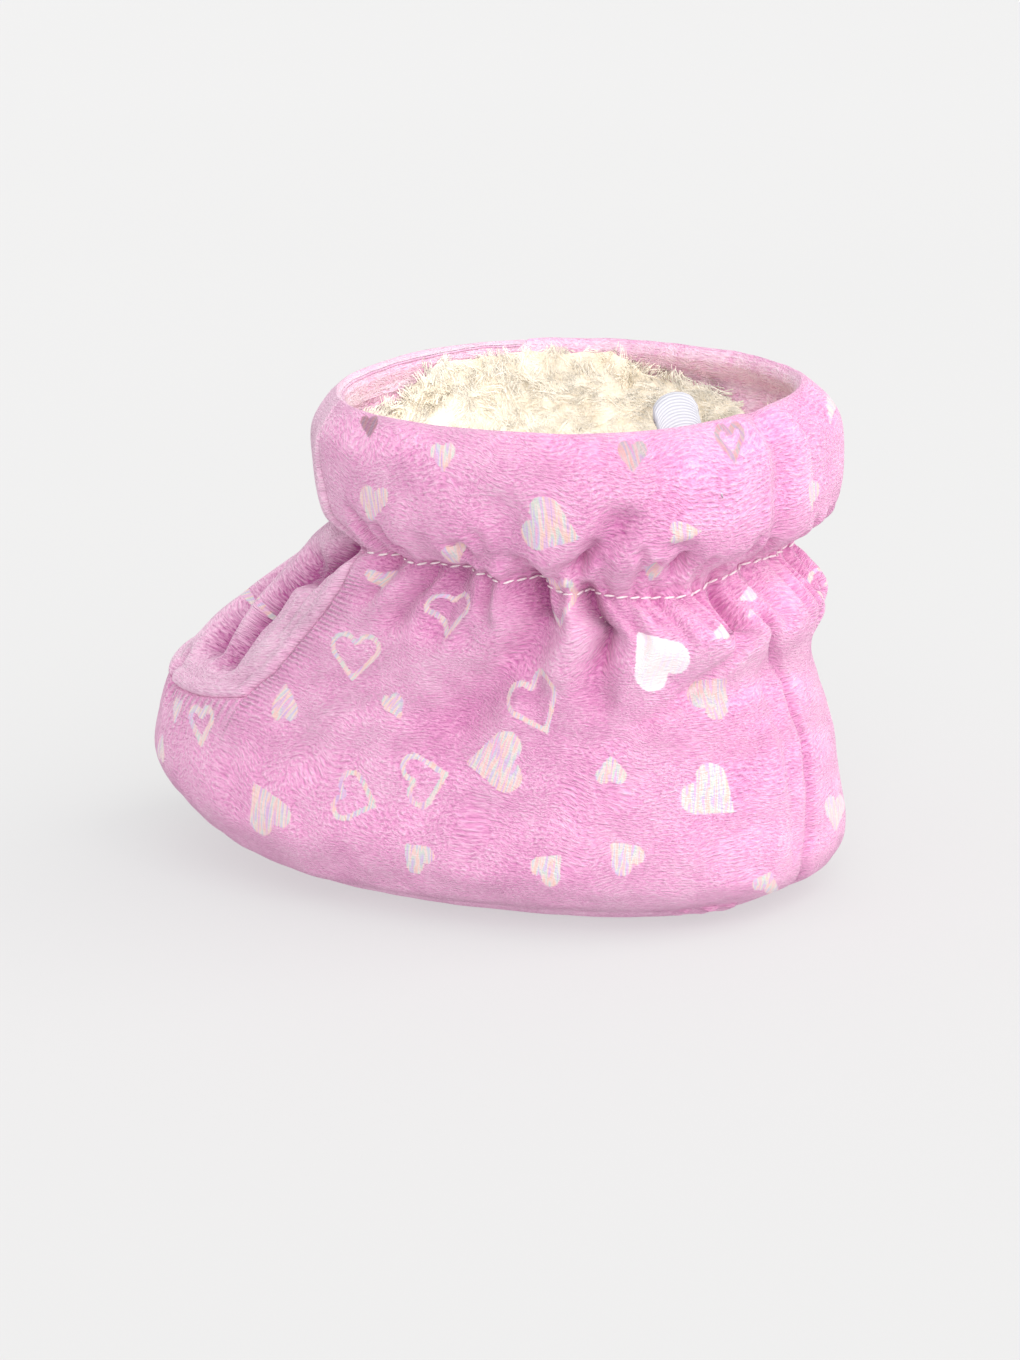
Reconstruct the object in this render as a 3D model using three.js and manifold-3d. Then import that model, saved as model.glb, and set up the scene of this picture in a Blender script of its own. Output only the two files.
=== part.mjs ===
// A baby's plush bootie slipper: a soft sole, an insole, a hollow upper gathered at the ankle by an
// elastic seam, an apron set into the upper from the toe to the rim, and a ribbon loop inside the cuff.
// Millimetres, +X towards the toe, +Y to the side that faces left of the toe, +Z up, origin on the floor
// under the middle of the shoe.
import * as THREE from "three";
import { mergeVertices } from "three/addons/utils/BufferGeometryUtils.js";
import Module from "manifold-3d";

const wasm = await Module();
wasm.setup();

// Driving sizes of the shoe
const LENGTH = 128.5; // from the back of the cuff to the tip of the toe
const BALL_WIDTH = 70.6; // across the widest bulge of the foot part
const ANKLE_HEIGHT = 54.5; // floor to the elastic seam at the heel
const COLLAR_LENGTH = 86.5; // fore and aft across the cuff
const COLLAR_WIDTH = 69; // side to side across the cuff
const CUFF_HEIGHT = 26; // elastic seam to the rim
const TOE_SPRING = 7; // lift of the sole at the tip of the toe
const FLAT_SHARE = 0.6; // share of the sole, from the heel, that lies flat on the floor
const SPRING_BEND = 1.4; // how gently the spring sets in past the flat

// Materials and clearances
const SHELL = 1.4; // plush shell cloth with its pile
const LINING = 1.8; // knitted back of the fleece lining
const WALL = SHELL + LINING;
const SEAM_GAP = 0.3; // between pieces that are sewn or laid together
const SOLE_THICKNESS = 3;
const SOLE_MARGIN = 0.7; // how far the sole stands out past the foot of the upper
const SOLE_TUCK = 7.5; // how far its underside curves in from there before it is flat
const PAD_ROUND = 1; // rounding of the edges of the sole's top and of the insole
const INSOLE_THICKNESS = 3;

// Apron, seam and ribbon sizes
const APRON_ANGLE = 62; // degrees from the toe line to each side seam
const APRON_ROLL = 0.9; // how far its rolled edge stands up
const APRON_ROLL_WIDTH = 3.2;
const ELASTIC_PINCH = 1; // extra pull of the elastic between its gathers
const GATHERS = 20; // small gathers round the elastic seam
const RIBBON_WIDTH = 6.6;
const RIBBON_THICKNESS = 0.6;
const RIBBON_RISE = 16.8; // length of the loop from the lining to its fold
const RIBBON_ANGLE = 156; // where it is held, in degrees from the toe, and at what level
const RIBBON_LEVEL = 0.868;
const RIBBON_LEAN = 42; // degrees that it leans inwards from upright
const RIBBON_BEND = 1.5; // inner radius of the loop's fold

// Fineness of the faceted surfaces
const AROUND = 80;
const APRON_ACROSS = 24;
const POCKET_CLEAR = 2.4; // how far the apron's pocket cutter reaches outside the skin
const SOLE_RING = 0.6;
const SOLE_AROUND = 44;

// Foot sections from the sole's edge to the puff above the heel. Back, front and middle are shares of LENGTH
// from the heel, width is a share of BALL_WIDTH, and low and high are the section's heights at its back and
// front as shares of the way from the sole to the elastic. Spring is its share of the sole's toe spring.
const FOOT_SECTIONS = [
  { name: "feather", back: 0.058, front: 0.914, mid: 0.556, width: 0.836, low: 0, high: 0, spring: 1, bend: 1 },
  { name: "turn", back: 0.023, front: 0.957, mid: 0.556, width: 0.943, low: 0.049, high: 0.049, spring: 1, bend: 1 },
  { name: "bulge", back: 0.012, front: 1, mid: 0.556, width: 1, low: 0.141, high: 0.229, spring: 0.5, bend: 2.2 },
  { name: "side", back: 0.014, front: 0.973, mid: 0.541, width: 0.943, low: 0.307, high: 0.502, spring: 0, bend: 1.6 },
  { name: "throat", back: 0.019, front: 0.922, mid: 0.502, width: 0.892, low: 0.463, high: 0.639, spring: 0, bend: 1.3 },
  { name: "vamp", back: 0.035, front: 0.852, mid: 0.463, width: 0.85, low: 0.58, high: 0.766, spring: 0, bend: 1.2 },
  { name: "instep", back: 0.047, front: 0.774, mid: 0.424, width: 0.836, low: 0.697, high: 0.893, spring: 0, bend: 1.1 },
  { name: "puff", back: 0.019, front: 0.704, mid: 0.381, width: 0.87, low: 0.854, high: 1.02, spring: 0, bend: 1 },
];

// Shaft sections from the elastic to the rim. Back, front and middle are shares of COLLAR_LENGTH from the
// heel, width is a share of COLLAR_WIDTH, and the two heights are shares of CUFF_HEIGHT above the elastic.
const SHAFT_SECTIONS = [
  { name: "elastic", back: 0.092, front: 0.983, mid: 0.526, width: 0.884, low: 0, high: 0.2 },
  { name: "overhang", back: 0.017, front: 1.003, mid: 0.526, width: 0.957, low: 0.231, high: 0.36 },
  { name: "cuff", back: 0, front: 1, mid: 0.52, width: 1, low: 0.5, high: 0.577 },
  { name: "shoulder", back: 0.009, front: 0.994, mid: 0.52, width: 1, low: 0.808, high: 0.827 },
  { name: "rim", back: 0.069, front: 0.948, mid: 0.538, width: 0.89, low: 1, high: 1.04 },
];
const HEEL_POWER = 2.36; // squareness of the back half of a section, where 2 is an ellipse
const TOE_POWER = 2.16;
const LEVELS = FOOT_SECTIONS.length + SHAFT_SECTIONS.length - 1;
const ELASTIC_LEVEL = FOOT_SECTIONS.length / LEVELS;

// Main folds. Each runs from one angle and level to another; angles are degrees from the toe towards +Y, and
// levels are shares of the way from the feather to the rim. Half is its half width and depth its depth
// inwards, both as shares of BALL_WIDTH, and a negative depth is a ridge.
const FOLDS = [
  { name: "apron_hollow", angle: 12, level: 0.53, toAngle: 36, toLevel: 0.35, half: 0.15, depth: 0.06 },
  { name: "apron_tuck", angle: 50, level: 0.65, toAngle: 47, toLevel: 0.54, half: 0.11, depth: 0.055 },
  { name: "apron_far_tuck", angle: -50, level: 0.65, toAngle: -42, toLevel: 0.5, half: 0.11, depth: 0.045 },
  { name: "toe_tuck", angle: 28, level: 0.31, toAngle: 36, toLevel: 0.24, half: 0.06, depth: 0.016 },
  { name: "side_gather_1", angle: 72, level: 0.66, toAngle: 70, toLevel: 0.56, half: 0.075, depth: 0.022 },
  { name: "side_gather_2", angle: 88, level: 0.66, toAngle: 89, toLevel: 0.54, half: 0.07, depth: 0.026 },
  { name: "side_fold", angle: 110, level: 0.66, toAngle: 101, toLevel: 0.36, half: 0.085, depth: 0.042 },
  { name: "side_ridge", angle: 102, level: 0.62, toAngle: 90, toLevel: 0.32, half: 0.1, depth: -0.018 },
  { name: "heel_fold", angle: 125, level: 0.64, toAngle: 128, toLevel: 0.46, half: 0.07, depth: 0.034 },
  { name: "heel_dimple", angle: 166, level: 0.65, toAngle: 164, toLevel: 0.57, half: 0.085, depth: 0.032 },
  { name: "cuff_fold_1", angle: 103, level: 0.715, toAngle: 104, toLevel: 0.86, half: 0.08, depth: 0.026 },
  { name: "cuff_fold_2", angle: 120, level: 0.71, toAngle: 131, toLevel: 0.84, half: 0.08, depth: 0.038 },
  { name: "cuff_fold_3", angle: 149, level: 0.7, toAngle: 146, toLevel: 0.78, half: 0.075, depth: 0.026 },
  { name: "back_seam", angle: 176, level: 0.14, toAngle: 176, toLevel: 0.6, half: 0.06, depth: 0.012 },
  { name: "back_seam_cuff", angle: 175, level: 0.74, toAngle: 177, toLevel: 0.98, half: 0.06, depth: 0.026 },
  { name: "far_gather_1", angle: -74, level: 0.66, toAngle: -70, toLevel: 0.55, half: 0.075, depth: 0.028 },
  { name: "far_gather_2", angle: -94, level: 0.66, toAngle: -90, toLevel: 0.52, half: 0.075, depth: 0.028 },
  { name: "far_fold", angle: -113, level: 0.66, toAngle: -106, toLevel: 0.4, half: 0.085, depth: 0.038 },
  { name: "far_heel_fold", angle: -135, level: 0.66, toAngle: -141, toLevel: 0.48, half: 0.075, depth: 0.034 },
  { name: "far_heel_dimple", angle: -158, level: 0.65, toAngle: -156, toLevel: 0.57, half: 0.08, depth: 0.028 },
  { name: "far_cuff_fold_1", angle: -98, level: 0.69, toAngle: -104, toLevel: 0.85, half: 0.08, depth: 0.03 },
  { name: "far_cuff_fold_2", angle: -142, level: 0.69, toAngle: -136, toLevel: 0.86, half: 0.08, depth: 0.034 },
  { name: "front_cuff_dip", angle: 2, level: 0.75, toAngle: -4, toLevel: 0.92, half: 0.13, depth: 0.02 },
];

// Levels where the wall is sampled, closest together at the elastic and the rim
const WALL_LEVELS = [
  0, 0.04, 0.083, 0.125, 0.17, 0.22, 0.28, 0.33, 0.375, 0.415, 0.455, 0.495, 0.53, 0.565, 0.6, 0.635, 0.667,
  0.7, 0.74, 0.79, 0.84, 0.89, 0.935, 0.97, 1,
];

const rad = THREE.MathUtils.degToRad;
const smooth = (x, low, high) => THREE.MathUtils.smoothstep(x, low, high);

// One section as real sizes, from either table
const seat = SOLE_THICKNESS + SEAM_GAP;
const heelX = -LENGTH / 2;
const SECTIONS = [
  ...FOOT_SECTIONS.map((s) => ({
    back: heelX + s.back * LENGTH,
    front: heelX + s.front * LENGTH,
    mid: heelX + s.mid * LENGTH,
    half: (s.width * BALL_WIDTH) / 2,
    low: seat + s.low * (ANKLE_HEIGHT - seat),
    high: seat + s.high * (ANKLE_HEIGHT - seat),
    bend: s.bend,
    spring: s.spring,
  })),
  ...SHAFT_SECTIONS.map((s) => ({
    back: heelX + s.back * COLLAR_LENGTH,
    front: heelX + s.front * COLLAR_LENGTH,
    mid: heelX + s.mid * COLLAR_LENGTH,
    half: (s.width * COLLAR_WIDTH) / 2,
    low: ANKLE_HEIGHT + s.low * CUFF_HEIGHT,
    high: ANKLE_HEIGHT + s.high * CUFF_HEIGHT,
    bend: 1,
    spring: 0,
  })),
];

// The section at any level, on a smooth curve through the tables' rows
function sectionAt(level) {
  const place = THREE.MathUtils.clamp(level, 0, 1) * LEVELS;
  const i = Math.min(Math.floor(place), LEVELS - 1);
  const f = place - i;
  const rows = [i - 1, i, i + 1, i + 2].map((k) => SECTIONS[THREE.MathUtils.clamp(k, 0, LEVELS)]);
  const blended = {};
  for (const key of Object.keys(SECTIONS[0])) {
    const [a, b, c, d] = rows.map((row) => row[key]);
    const square = (2 * a - 5 * b + 4 * c - d) * f * f;
    const cube = (3 * b - a - 3 * c + d) * f * f * f;
    blended[key] = (2 * b + (c - a) * f + square + cube) / 2;
  }
  return blended;
}

// Lift of the sole at a share of its length from the heel, flat at first and then up to the toe
function springAt(share) {
  return TOE_SPRING * (Math.max(share - FLAT_SHARE, 0) / (1 - FLAT_SHARE)) ** SPRING_BEND;
}

// A point of the unfolded outer surface; angle in radians from the toe towards +Y
function formPoint(angle, level) {
  const s = sectionAt(level);
  const c = Math.cos(angle);
  const power = 2 / (c > 0 ? TOE_POWER : HEEL_POWER);
  const reach = c > 0 ? s.front - s.mid : s.mid - s.back;
  const x = s.mid + reach * Math.sign(c) * Math.abs(c) ** power;
  const y = s.half * Math.sign(Math.sin(angle)) * Math.abs(Math.sin(angle)) ** power;
  const share = THREE.MathUtils.clamp((x - s.back) / (s.front - s.back), 0, 1);
  return new THREE.Vector3(x, y, s.low + (s.high - s.low) * share ** s.bend + s.spring * springAt(share));
}

// The outward normal there, turned level near the sole so that the foot of the wall stands square on it
const STEP = 0.004;
const FOOT_BLEND = 0.1;
function formNormal(angle, level) {
  const low = Math.max(level - STEP, 0);
  const high = Math.min(level + STEP, 1);
  const along = formPoint(angle + STEP, level).sub(formPoint(angle - STEP, level));
  const up = formPoint(angle, high).sub(formPoint(angle, low));
  const normal = along.clone().cross(up).normalize();
  const level_normal = new THREE.Vector3(along.y, -along.x, 0).normalize();
  return normal.lerp(level_normal, 1 - smooth(level, 0, FOOT_BLEND)).normalize();
}

// Depth of one fold at a point, a soft trough across its line that fades at both of its ends
const FOLD_FADE = 0.25;
function foldDepth(fold, angle, level, round) {
  const along = (level - fold.level) / (fold.toLevel - fold.level);
  const fade = smooth(along, -FOLD_FADE, FOLD_FADE / 2) * (1 - smooth(along, 1 - FOLD_FADE / 2, 1 + FOLD_FADE));
  if (fade <= 0) return 0;
  const t = THREE.MathUtils.clamp(along, 0, 1);
  const centre = rad(THREE.MathUtils.lerp(fold.angle, fold.toAngle, t));
  const turn = Math.atan2(Math.sin(angle - centre), Math.cos(angle - centre));
  const across = Math.min(Math.abs(turn * round) / (fold.half * BALL_WIDTH), 1);
  return fold.depth * BALL_WIDTH * fade * Math.cos((across * Math.PI) / 2) ** 2;
}

// Small gathers that the elastic pulls in, which die away above and below its seam
const GATHER_REACH = 0.1;
function gatherDepth(angle, level) {
  const near = 1 - smooth(Math.abs(level - ELASTIC_LEVEL), 0, GATHER_REACH);
  return ELASTIC_PINCH * near * Math.cos((GATHERS * angle) / 2) ** 2;
}

// A point at a depth under the finished outer skin, folds and gathers included
function skinPoint(angle, level, depth) {
  const point = formPoint(angle, level);
  const s = sectionAt(level);
  const round = Math.hypot(point.x - s.mid, point.y);
  const folded = FOLDS.reduce((sum, fold) => sum + foldDepth(fold, angle, level, round), 0);
  return point.addScaledVector(formNormal(angle, level), -(depth + folded + gatherDepth(angle, level)));
}

// A geometry from points and triangles, as a solid of the boolean library and back
function solidOf(points, triangles) {
  const raw = new THREE.BufferGeometry().setFromPoints(points);
  raw.setIndex(triangles);
  const merged = mergeVertices(raw, 1e-3);
  const vertProperties = merged.attributes.position.array;
  const triVerts = new Uint32Array(merged.index.array);
  return new wasm.Manifold(new wasm.Mesh({ numProp: 3, vertProperties, triVerts }));
}

function geometryOf(solid) {
  const mesh = solid.getMesh();
  const geometry = new THREE.BufferGeometry();
  geometry.setAttribute("position", new THREE.BufferAttribute(mesh.vertProperties.slice(), 3));
  geometry.setIndex(new THREE.BufferAttribute(mesh.triVerts.slice(), 1));
  geometry.computeVertexNormals();
  return geometry;
}

// A solid with another cut away, less the offcuts
function trimmed(solid, cutter) {
  return solid
    .subtract(cutter)
    .decompose()
    .reduce((best, body) => (body.volume() > best.volume() ? body : best));
}

// Adds a four-sided face, split along the shorter of its diagonals
function addFace(triangles, points, [a, b, c, d]) {
  const split = points[a].distanceTo(points[c]) <= points[b].distanceTo(points[d]);
  triangles.push(...(split ? [a, b, c, a, c, d] : [a, b, d, b, c, d]));
}

// Joins rings of equally many points into a skin; a closed skin joins its last ring to its first
function loftSolid(rings, closed) {
  const count = rings[0].length;
  const points = rings.flat();
  const triangles = [];
  const bands = closed ? rings.length : rings.length - 1;
  for (let r = 0; r < bands; r += 1) {
    const next = (r + 1) % rings.length;
    for (let i = 0; i < count; i += 1) {
      const j = (i + 1) % count;
      addFace(triangles, points, [r * count + i, r * count + j, next * count + j, next * count + i]);
    }
  }
  return solidOf(points, triangles);
}

// A hollow wall from the sole to the rim between two depths: its outer skin up and its inner skin down again
const INNER_TOP = 0.965; // level where the inner skin leaves the rounded rim
const INNER_LEVELS = [
  0, 0.06, 0.13, 0.21, 0.28, 0.335, 0.385, 0.43, 0.47, 0.51, 0.55, 0.59, 0.625, 0.66, 0.691, 0.725, 0.77, 0.83,
  0.89, 0.95, 1,
];
function wallBetween(outside, inside) {
  const ring = (level, under) => {
    const points = [];
    for (let i = 0; i < AROUND; i += 1) points.push(skinPoint((i / AROUND) * 2 * Math.PI, level, under));
    return points;
  };
  const outer = WALL_LEVELS.map((level) => ring(level, outside));
  const inner = INNER_LEVELS.map((level) => ring(level * INNER_TOP, inside)).reverse();
  return loftSolid([...outer, ...inner], true);
}

// The apron's outline: straight side seams, and a toe seam that rounds up into them
const APRON_TOE_LEVEL = 0.255;
const APRON_CORNER = 0.06;
const APRON_TOP = 0.965;
const APRON_LEVELS = [
  0, 0.025, 0.06, 0.11, 0.17, 0.23, 0.29, 0.34, 0.39, 0.44, 0.485, 0.525, 0.555, 0.58, 0.61, 0.65, 0.71, 0.78,
  0.86, 0.94, 1,
];
function apronPlace(across, up) {
  const toe = APRON_TOE_LEVEL + APRON_CORNER * Math.abs(across) ** 4;
  return { angle: rad(APRON_ANGLE) * across, level: toe + (APRON_TOP - toe) * up };
}

// Height of the rolled edge along the apron's side and toe seams
function rollHeight(across, up, trim) {
  const sideDistance = (1 - Math.abs(across)) * rad(APRON_ANGLE) * (COLLAR_WIDTH / 2);
  const toeDistance = up * (APRON_TOP - APRON_TOE_LEVEL) * LENGTH * 0.8;
  const edge = Math.min(sideDistance, toeDistance) + trim;
  return APRON_ROLL * (1 - smooth(edge, APRON_ROLL_WIDTH * 0.3, APRON_ROLL_WIDTH * 1.2));
}

// A slab on the apron's outline between two depths under the skin, drawn in from its seams by a trim
function apronSlab(top, bottom, trim, rolled) {
  const shareTrim = trim / (rad(APRON_ANGLE) * (COLLAR_WIDTH / 2));
  const upTrim = trim / ((APRON_TOP - APRON_TOE_LEVEL) * LENGTH * 0.8);
  const columns = [];
  for (let i = 0; i <= APRON_ACROSS; i += 1) {
    columns.push(THREE.MathUtils.clamp((2 * i) / APRON_ACROSS - 1, shareTrim - 1, 1 - shareTrim));
  }
  const rows = APRON_LEVELS.map((up) => THREE.MathUtils.clamp(up, upTrim, 1 - upTrim));
  const face = (depthAt) =>
    rows.flatMap((up) =>
      columns.map((across) => {
        const { angle, level } = apronPlace(across, up);
        return skinPoint(angle, level, depthAt(across, up));
      }),
    );
  const outer = face((across, up) => top - (rolled ? rollHeight(across, up, trim) : 0));
  const inner = face(() => bottom);
  const wide = columns.length;
  const offset = outer.length;
  const points = [...outer, ...inner];
  const triangles = [];
  const quad = (...corners) => addFace(triangles, points, corners);
  for (let r = 0; r < rows.length - 1; r += 1) {
    for (let i = 0; i < wide - 1; i += 1) {
      const a = r * wide + i;
      quad(a, a + 1, a + 1 + wide, a + wide);
      quad(offset + a + wide, offset + a + 1 + wide, offset + a + 1, offset + a);
    }
    const left = r * wide;
    const right = left + wide - 1;
    quad(left, left + wide, offset + left + wide, offset + left);
    quad(right + wide, right, offset + right, offset + right + wide);
  }
  const last = (rows.length - 1) * wide;
  for (let i = 0; i < wide - 1; i += 1) {
    quad(i + 1, i, offset + i, offset + i + 1);
    quad(last + i, last + i + 1, offset + last + i + 1, offset + last + i);
  }
  return solidOf(points, triangles);
}

// Outline of the foot of the wall, moved out or in by a margin, at a height above the sole's own curve
function soleRing(margin, scale, height) {
  const points = [];
  for (let i = 0; i < SOLE_AROUND; i += 1) {
    const angle = (i / SOLE_AROUND) * 2 * Math.PI;
    const edge = formPoint(angle, 0).addScaledVector(formNormal(angle, 0), margin);
    const x = SECTIONS[0].mid + (edge.x - SECTIONS[0].mid) * scale;
    points.push(new THREE.Vector3(x, edge.y * scale, soleRise(x) + height));
  }
  return points;
}

// Toe spring at a station, the same curve that the foot of the wall follows
function soleRise(x) {
  const { back, front } = SECTIONS[0];
  return springAt(THREE.MathUtils.clamp((x - back) / (front - back), 0, 1));
}

// A pad with the sole's outline, whose underside curves in by a tuck and whose top edge is rounded
function pad(margin, bottom, thickness, tuck) {
  const top = bottom + thickness;
  const rings = [
    soleRing(margin - tuck, SOLE_RING, bottom),
    soleRing(margin - tuck, 1, bottom),
    soleRing(margin - tuck * 0.6, 1, bottom + thickness * 0.08),
    soleRing(margin - tuck * 0.3, 1, bottom + thickness * 0.24),
    soleRing(margin - tuck * 0.08, 1, bottom + thickness * 0.48),
    soleRing(margin, 1, top - PAD_ROUND),
    soleRing(margin - PAD_ROUND * 0.3, 1, top - PAD_ROUND * 0.3),
    soleRing(margin - PAD_ROUND, 1, top),
    soleRing(margin - PAD_ROUND, SOLE_RING, top),
  ];
  const centre = SECTIONS[0].mid;
  const pole = (height) => Array(SOLE_AROUND).fill(new THREE.Vector3(centre, 0, soleRise(centre) + height));
  return loftSolid([pole(bottom), ...rings, pole(top)], false);
}

// The ribbon loop: a flat band folded over, that leans inwards with both ends at the lining
const RIBBON_TAIL = 1.8; // run of its ends into the wall, cut off at the lining
function ribbonLoop() {
  const outer = RIBBON_BEND + RIBBON_THICKNESS;
  const bend = RIBBON_RISE - outer;
  const band = new THREE.Shape();
  band.moveTo(-outer, -RIBBON_TAIL);
  band.lineTo(-RIBBON_BEND, -RIBBON_TAIL);
  band.lineTo(-RIBBON_BEND, bend);
  band.absarc(0, bend, RIBBON_BEND, Math.PI, 0, true);
  band.lineTo(RIBBON_BEND, -RIBBON_TAIL);
  band.lineTo(outer, -RIBBON_TAIL);
  band.lineTo(outer, bend);
  band.absarc(0, bend, outer, 0, Math.PI, false);
  const options = { depth: RIBBON_WIDTH, bevelEnabled: false, curveSegments: 10 };
  const geometry = new THREE.ExtrudeGeometry(band, options).translate(0, 0, -RIBBON_WIDTH / 2);
  const inwards = formNormal(rad(RIBBON_ANGLE), RIBBON_LEVEL).setZ(0).normalize().negate();
  const up = new THREE.Vector3(0, 0, 1);
  const along = up.clone().multiplyScalar(Math.cos(rad(RIBBON_LEAN)));
  along.addScaledVector(inwards, Math.sin(rad(RIBBON_LEAN)));
  const wide = new THREE.Vector3().crossVectors(inwards, up).normalize();
  const thick = new THREE.Vector3().crossVectors(along, wide);
  const frame = new THREE.Matrix4().makeBasis(thick, along, wide);
  frame.setPosition(skinPoint(rad(RIBBON_ANGLE), RIBBON_LEVEL, WALL));
  geometry.applyMatrix4(frame);
  const position = geometry.getAttribute("position");
  const points = [];
  for (let i = 0; i < position.count; i += 1) points.push(new THREE.Vector3().fromBufferAttribute(position, i));
  return solidOf(points, geometry.index ? [...geometry.index.array] : points.map((point, i) => i));
}

const plush = new THREE.MeshStandardMaterial({ color: "#dfa3d2", roughness: 0.95, metalness: 0 });
const apronPlush = new THREE.MeshStandardMaterial({ color: "#dca0cd", roughness: 0.95, metalness: 0 });
const solePlush = new THREE.MeshStandardMaterial({ color: "#d897c8", roughness: 0.95, metalness: 0 });
const fleece = new THREE.MeshStandardMaterial({ color: "#f6f0dc", roughness: 1, metalness: 0 });
const satin = new THREE.MeshStandardMaterial({ color: "#f2f3f6", roughness: 0.35, metalness: 0 });

function named(name, geometry, material) {
  const mesh = new THREE.Mesh(geometry, material);
  mesh.name = name;
  return mesh;
}

const pocket = apronSlab(-POCKET_CLEAR, SHELL + SEAM_GAP, 0, false);
const wall = wallBetween(0, WALL);
const upper = wall.subtract(pocket);
const apron = apronSlab(0, SHELL, SEAM_GAP, true);
const sole = pad(SOLE_MARGIN, 0, SOLE_THICKNESS, SOLE_TUCK);
const ribbon = trimmed(ribbonLoop(), wallBetween(-RIBBON_TAIL, WALL + SEAM_GAP).add(wall));
const insole = pad(-WALL - SEAM_GAP, SOLE_THICKNESS + SEAM_GAP, INSOLE_THICKNESS, PAD_ROUND);

const bootie = new THREE.Group();
bootie.add(named("sole", geometryOf(sole), solePlush));
bootie.add(named("insole", geometryOf(insole), fleece));
bootie.add(named("upper", geometryOf(upper), plush));
bootie.add(named("apron", geometryOf(apron), apronPlush));
bootie.add(named("ribbon_loop", geometryOf(ribbon), satin));

// The origin lies under the middle of the finished shoe
const extent = new THREE.Box3().setFromObject(bootie);
bootie.position.x = -(extent.min.x + extent.max.x) / 2;
bootie.position.y = -(extent.min.y + extent.max.y) / 2;

export default bootie;
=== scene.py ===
"""Looks of a baby's plush bootie slipper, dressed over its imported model.

Sizes are written in millimetres, as in the model, and turned to metres where a mesh is made. Angles run
from the toe towards +Y, and levels run from the feather edge of the sole, 0, to the rim of the cuff, 1.
"""

import logging
import math
import random
from dataclasses import dataclass, field
from enum import Enum
from typing import Callable

import bmesh
import bpy
import numpy as np
from mathutils import Matrix, Vector, noise


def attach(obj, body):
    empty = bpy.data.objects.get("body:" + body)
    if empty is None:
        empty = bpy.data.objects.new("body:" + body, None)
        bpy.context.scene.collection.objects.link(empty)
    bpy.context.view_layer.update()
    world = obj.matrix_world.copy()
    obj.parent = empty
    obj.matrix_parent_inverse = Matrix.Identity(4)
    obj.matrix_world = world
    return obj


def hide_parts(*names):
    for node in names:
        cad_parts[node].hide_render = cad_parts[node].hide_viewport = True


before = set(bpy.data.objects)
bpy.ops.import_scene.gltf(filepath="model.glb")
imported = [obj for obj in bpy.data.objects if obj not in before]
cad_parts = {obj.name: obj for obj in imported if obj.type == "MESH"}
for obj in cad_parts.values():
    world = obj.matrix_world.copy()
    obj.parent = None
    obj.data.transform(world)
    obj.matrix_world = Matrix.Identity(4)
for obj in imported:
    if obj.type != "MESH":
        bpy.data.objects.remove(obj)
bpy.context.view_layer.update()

Array = np.ndarray
Tree = bpy.types.NodeTree
Socket = bpy.types.NodeSocket
Placer = Callable[[Array, Array], tuple[Array, Array, dict[str, Array]]]
LOG = logging.getLogger("bootie")
MM = 0.001
ELASTIC = 8 / 12  # level of the elastic seam
CHART_MM = 100.0  # millimetres of cloth to one unit of its UV layer
WAVE_SCALE = 0.314  # scale of a wave texture whose bands lie one unit apart
NO_FOIL = -3.0  # distance inside a heart of the cloth that is clear of them all


# Shape of the last, as in the model
@dataclass(frozen=True)
class Section:
    """One level section of the foot or the shaft, in shares of the last's own sizes."""

    name: str
    back: float
    front: float
    mid: float
    width: float
    low: float
    high: float
    spring: float = 0.0
    bend: float = 1.0


@dataclass(frozen=True)
class Fold:
    """A soft trough, or a ridge where its depth is negative, between two places on the skin.

    Half width and depth are in millimetres, and a sharpness over 1 makes the trough narrower at its foot.
    """

    name: str
    angle: float
    level: float
    to_angle: float
    to_level: float
    half: float
    depth: float
    sharp: float = 1.0


FOOT_SECTIONS = (
    Section("feather", 0.058, 0.914, 0.556, 0.836, 0.0, 0.0, 1.0, 1.0),
    Section("turn", 0.023, 0.957, 0.556, 0.943, 0.049, 0.049, 1.0, 1.0),
    Section("bulge", 0.012, 1.0, 0.556, 1.0, 0.141, 0.229, 0.5, 2.2),
    Section("side", 0.014, 0.973, 0.541, 0.943, 0.307, 0.502, 0.0, 1.6),
    Section("throat", 0.019, 0.922, 0.502, 0.892, 0.463, 0.639, 0.0, 1.3),
    Section("vamp", 0.035, 0.852, 0.463, 0.85, 0.58, 0.766, 0.0, 1.2),
    Section("instep", 0.047, 0.774, 0.424, 0.836, 0.697, 0.893, 0.0, 1.1),
    Section("puff", 0.019, 0.704, 0.381, 0.87, 0.854, 1.02, 0.0, 1.0),
)
SHAFT_SECTIONS = (
    Section("elastic", 0.092, 0.983, 0.526, 0.884, 0.0, 0.2),
    Section("overhang", 0.017, 1.003, 0.526, 0.957, 0.231, 0.36),
    Section("cuff", 0.0, 1.0, 0.52, 1.0, 0.5, 0.577),
    Section("shoulder", 0.009, 0.994, 0.52, 1.0, 0.808, 0.827),
    Section("rim", 0.069, 0.948, 0.538, 0.89, 1.0, 1.04),
)
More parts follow.
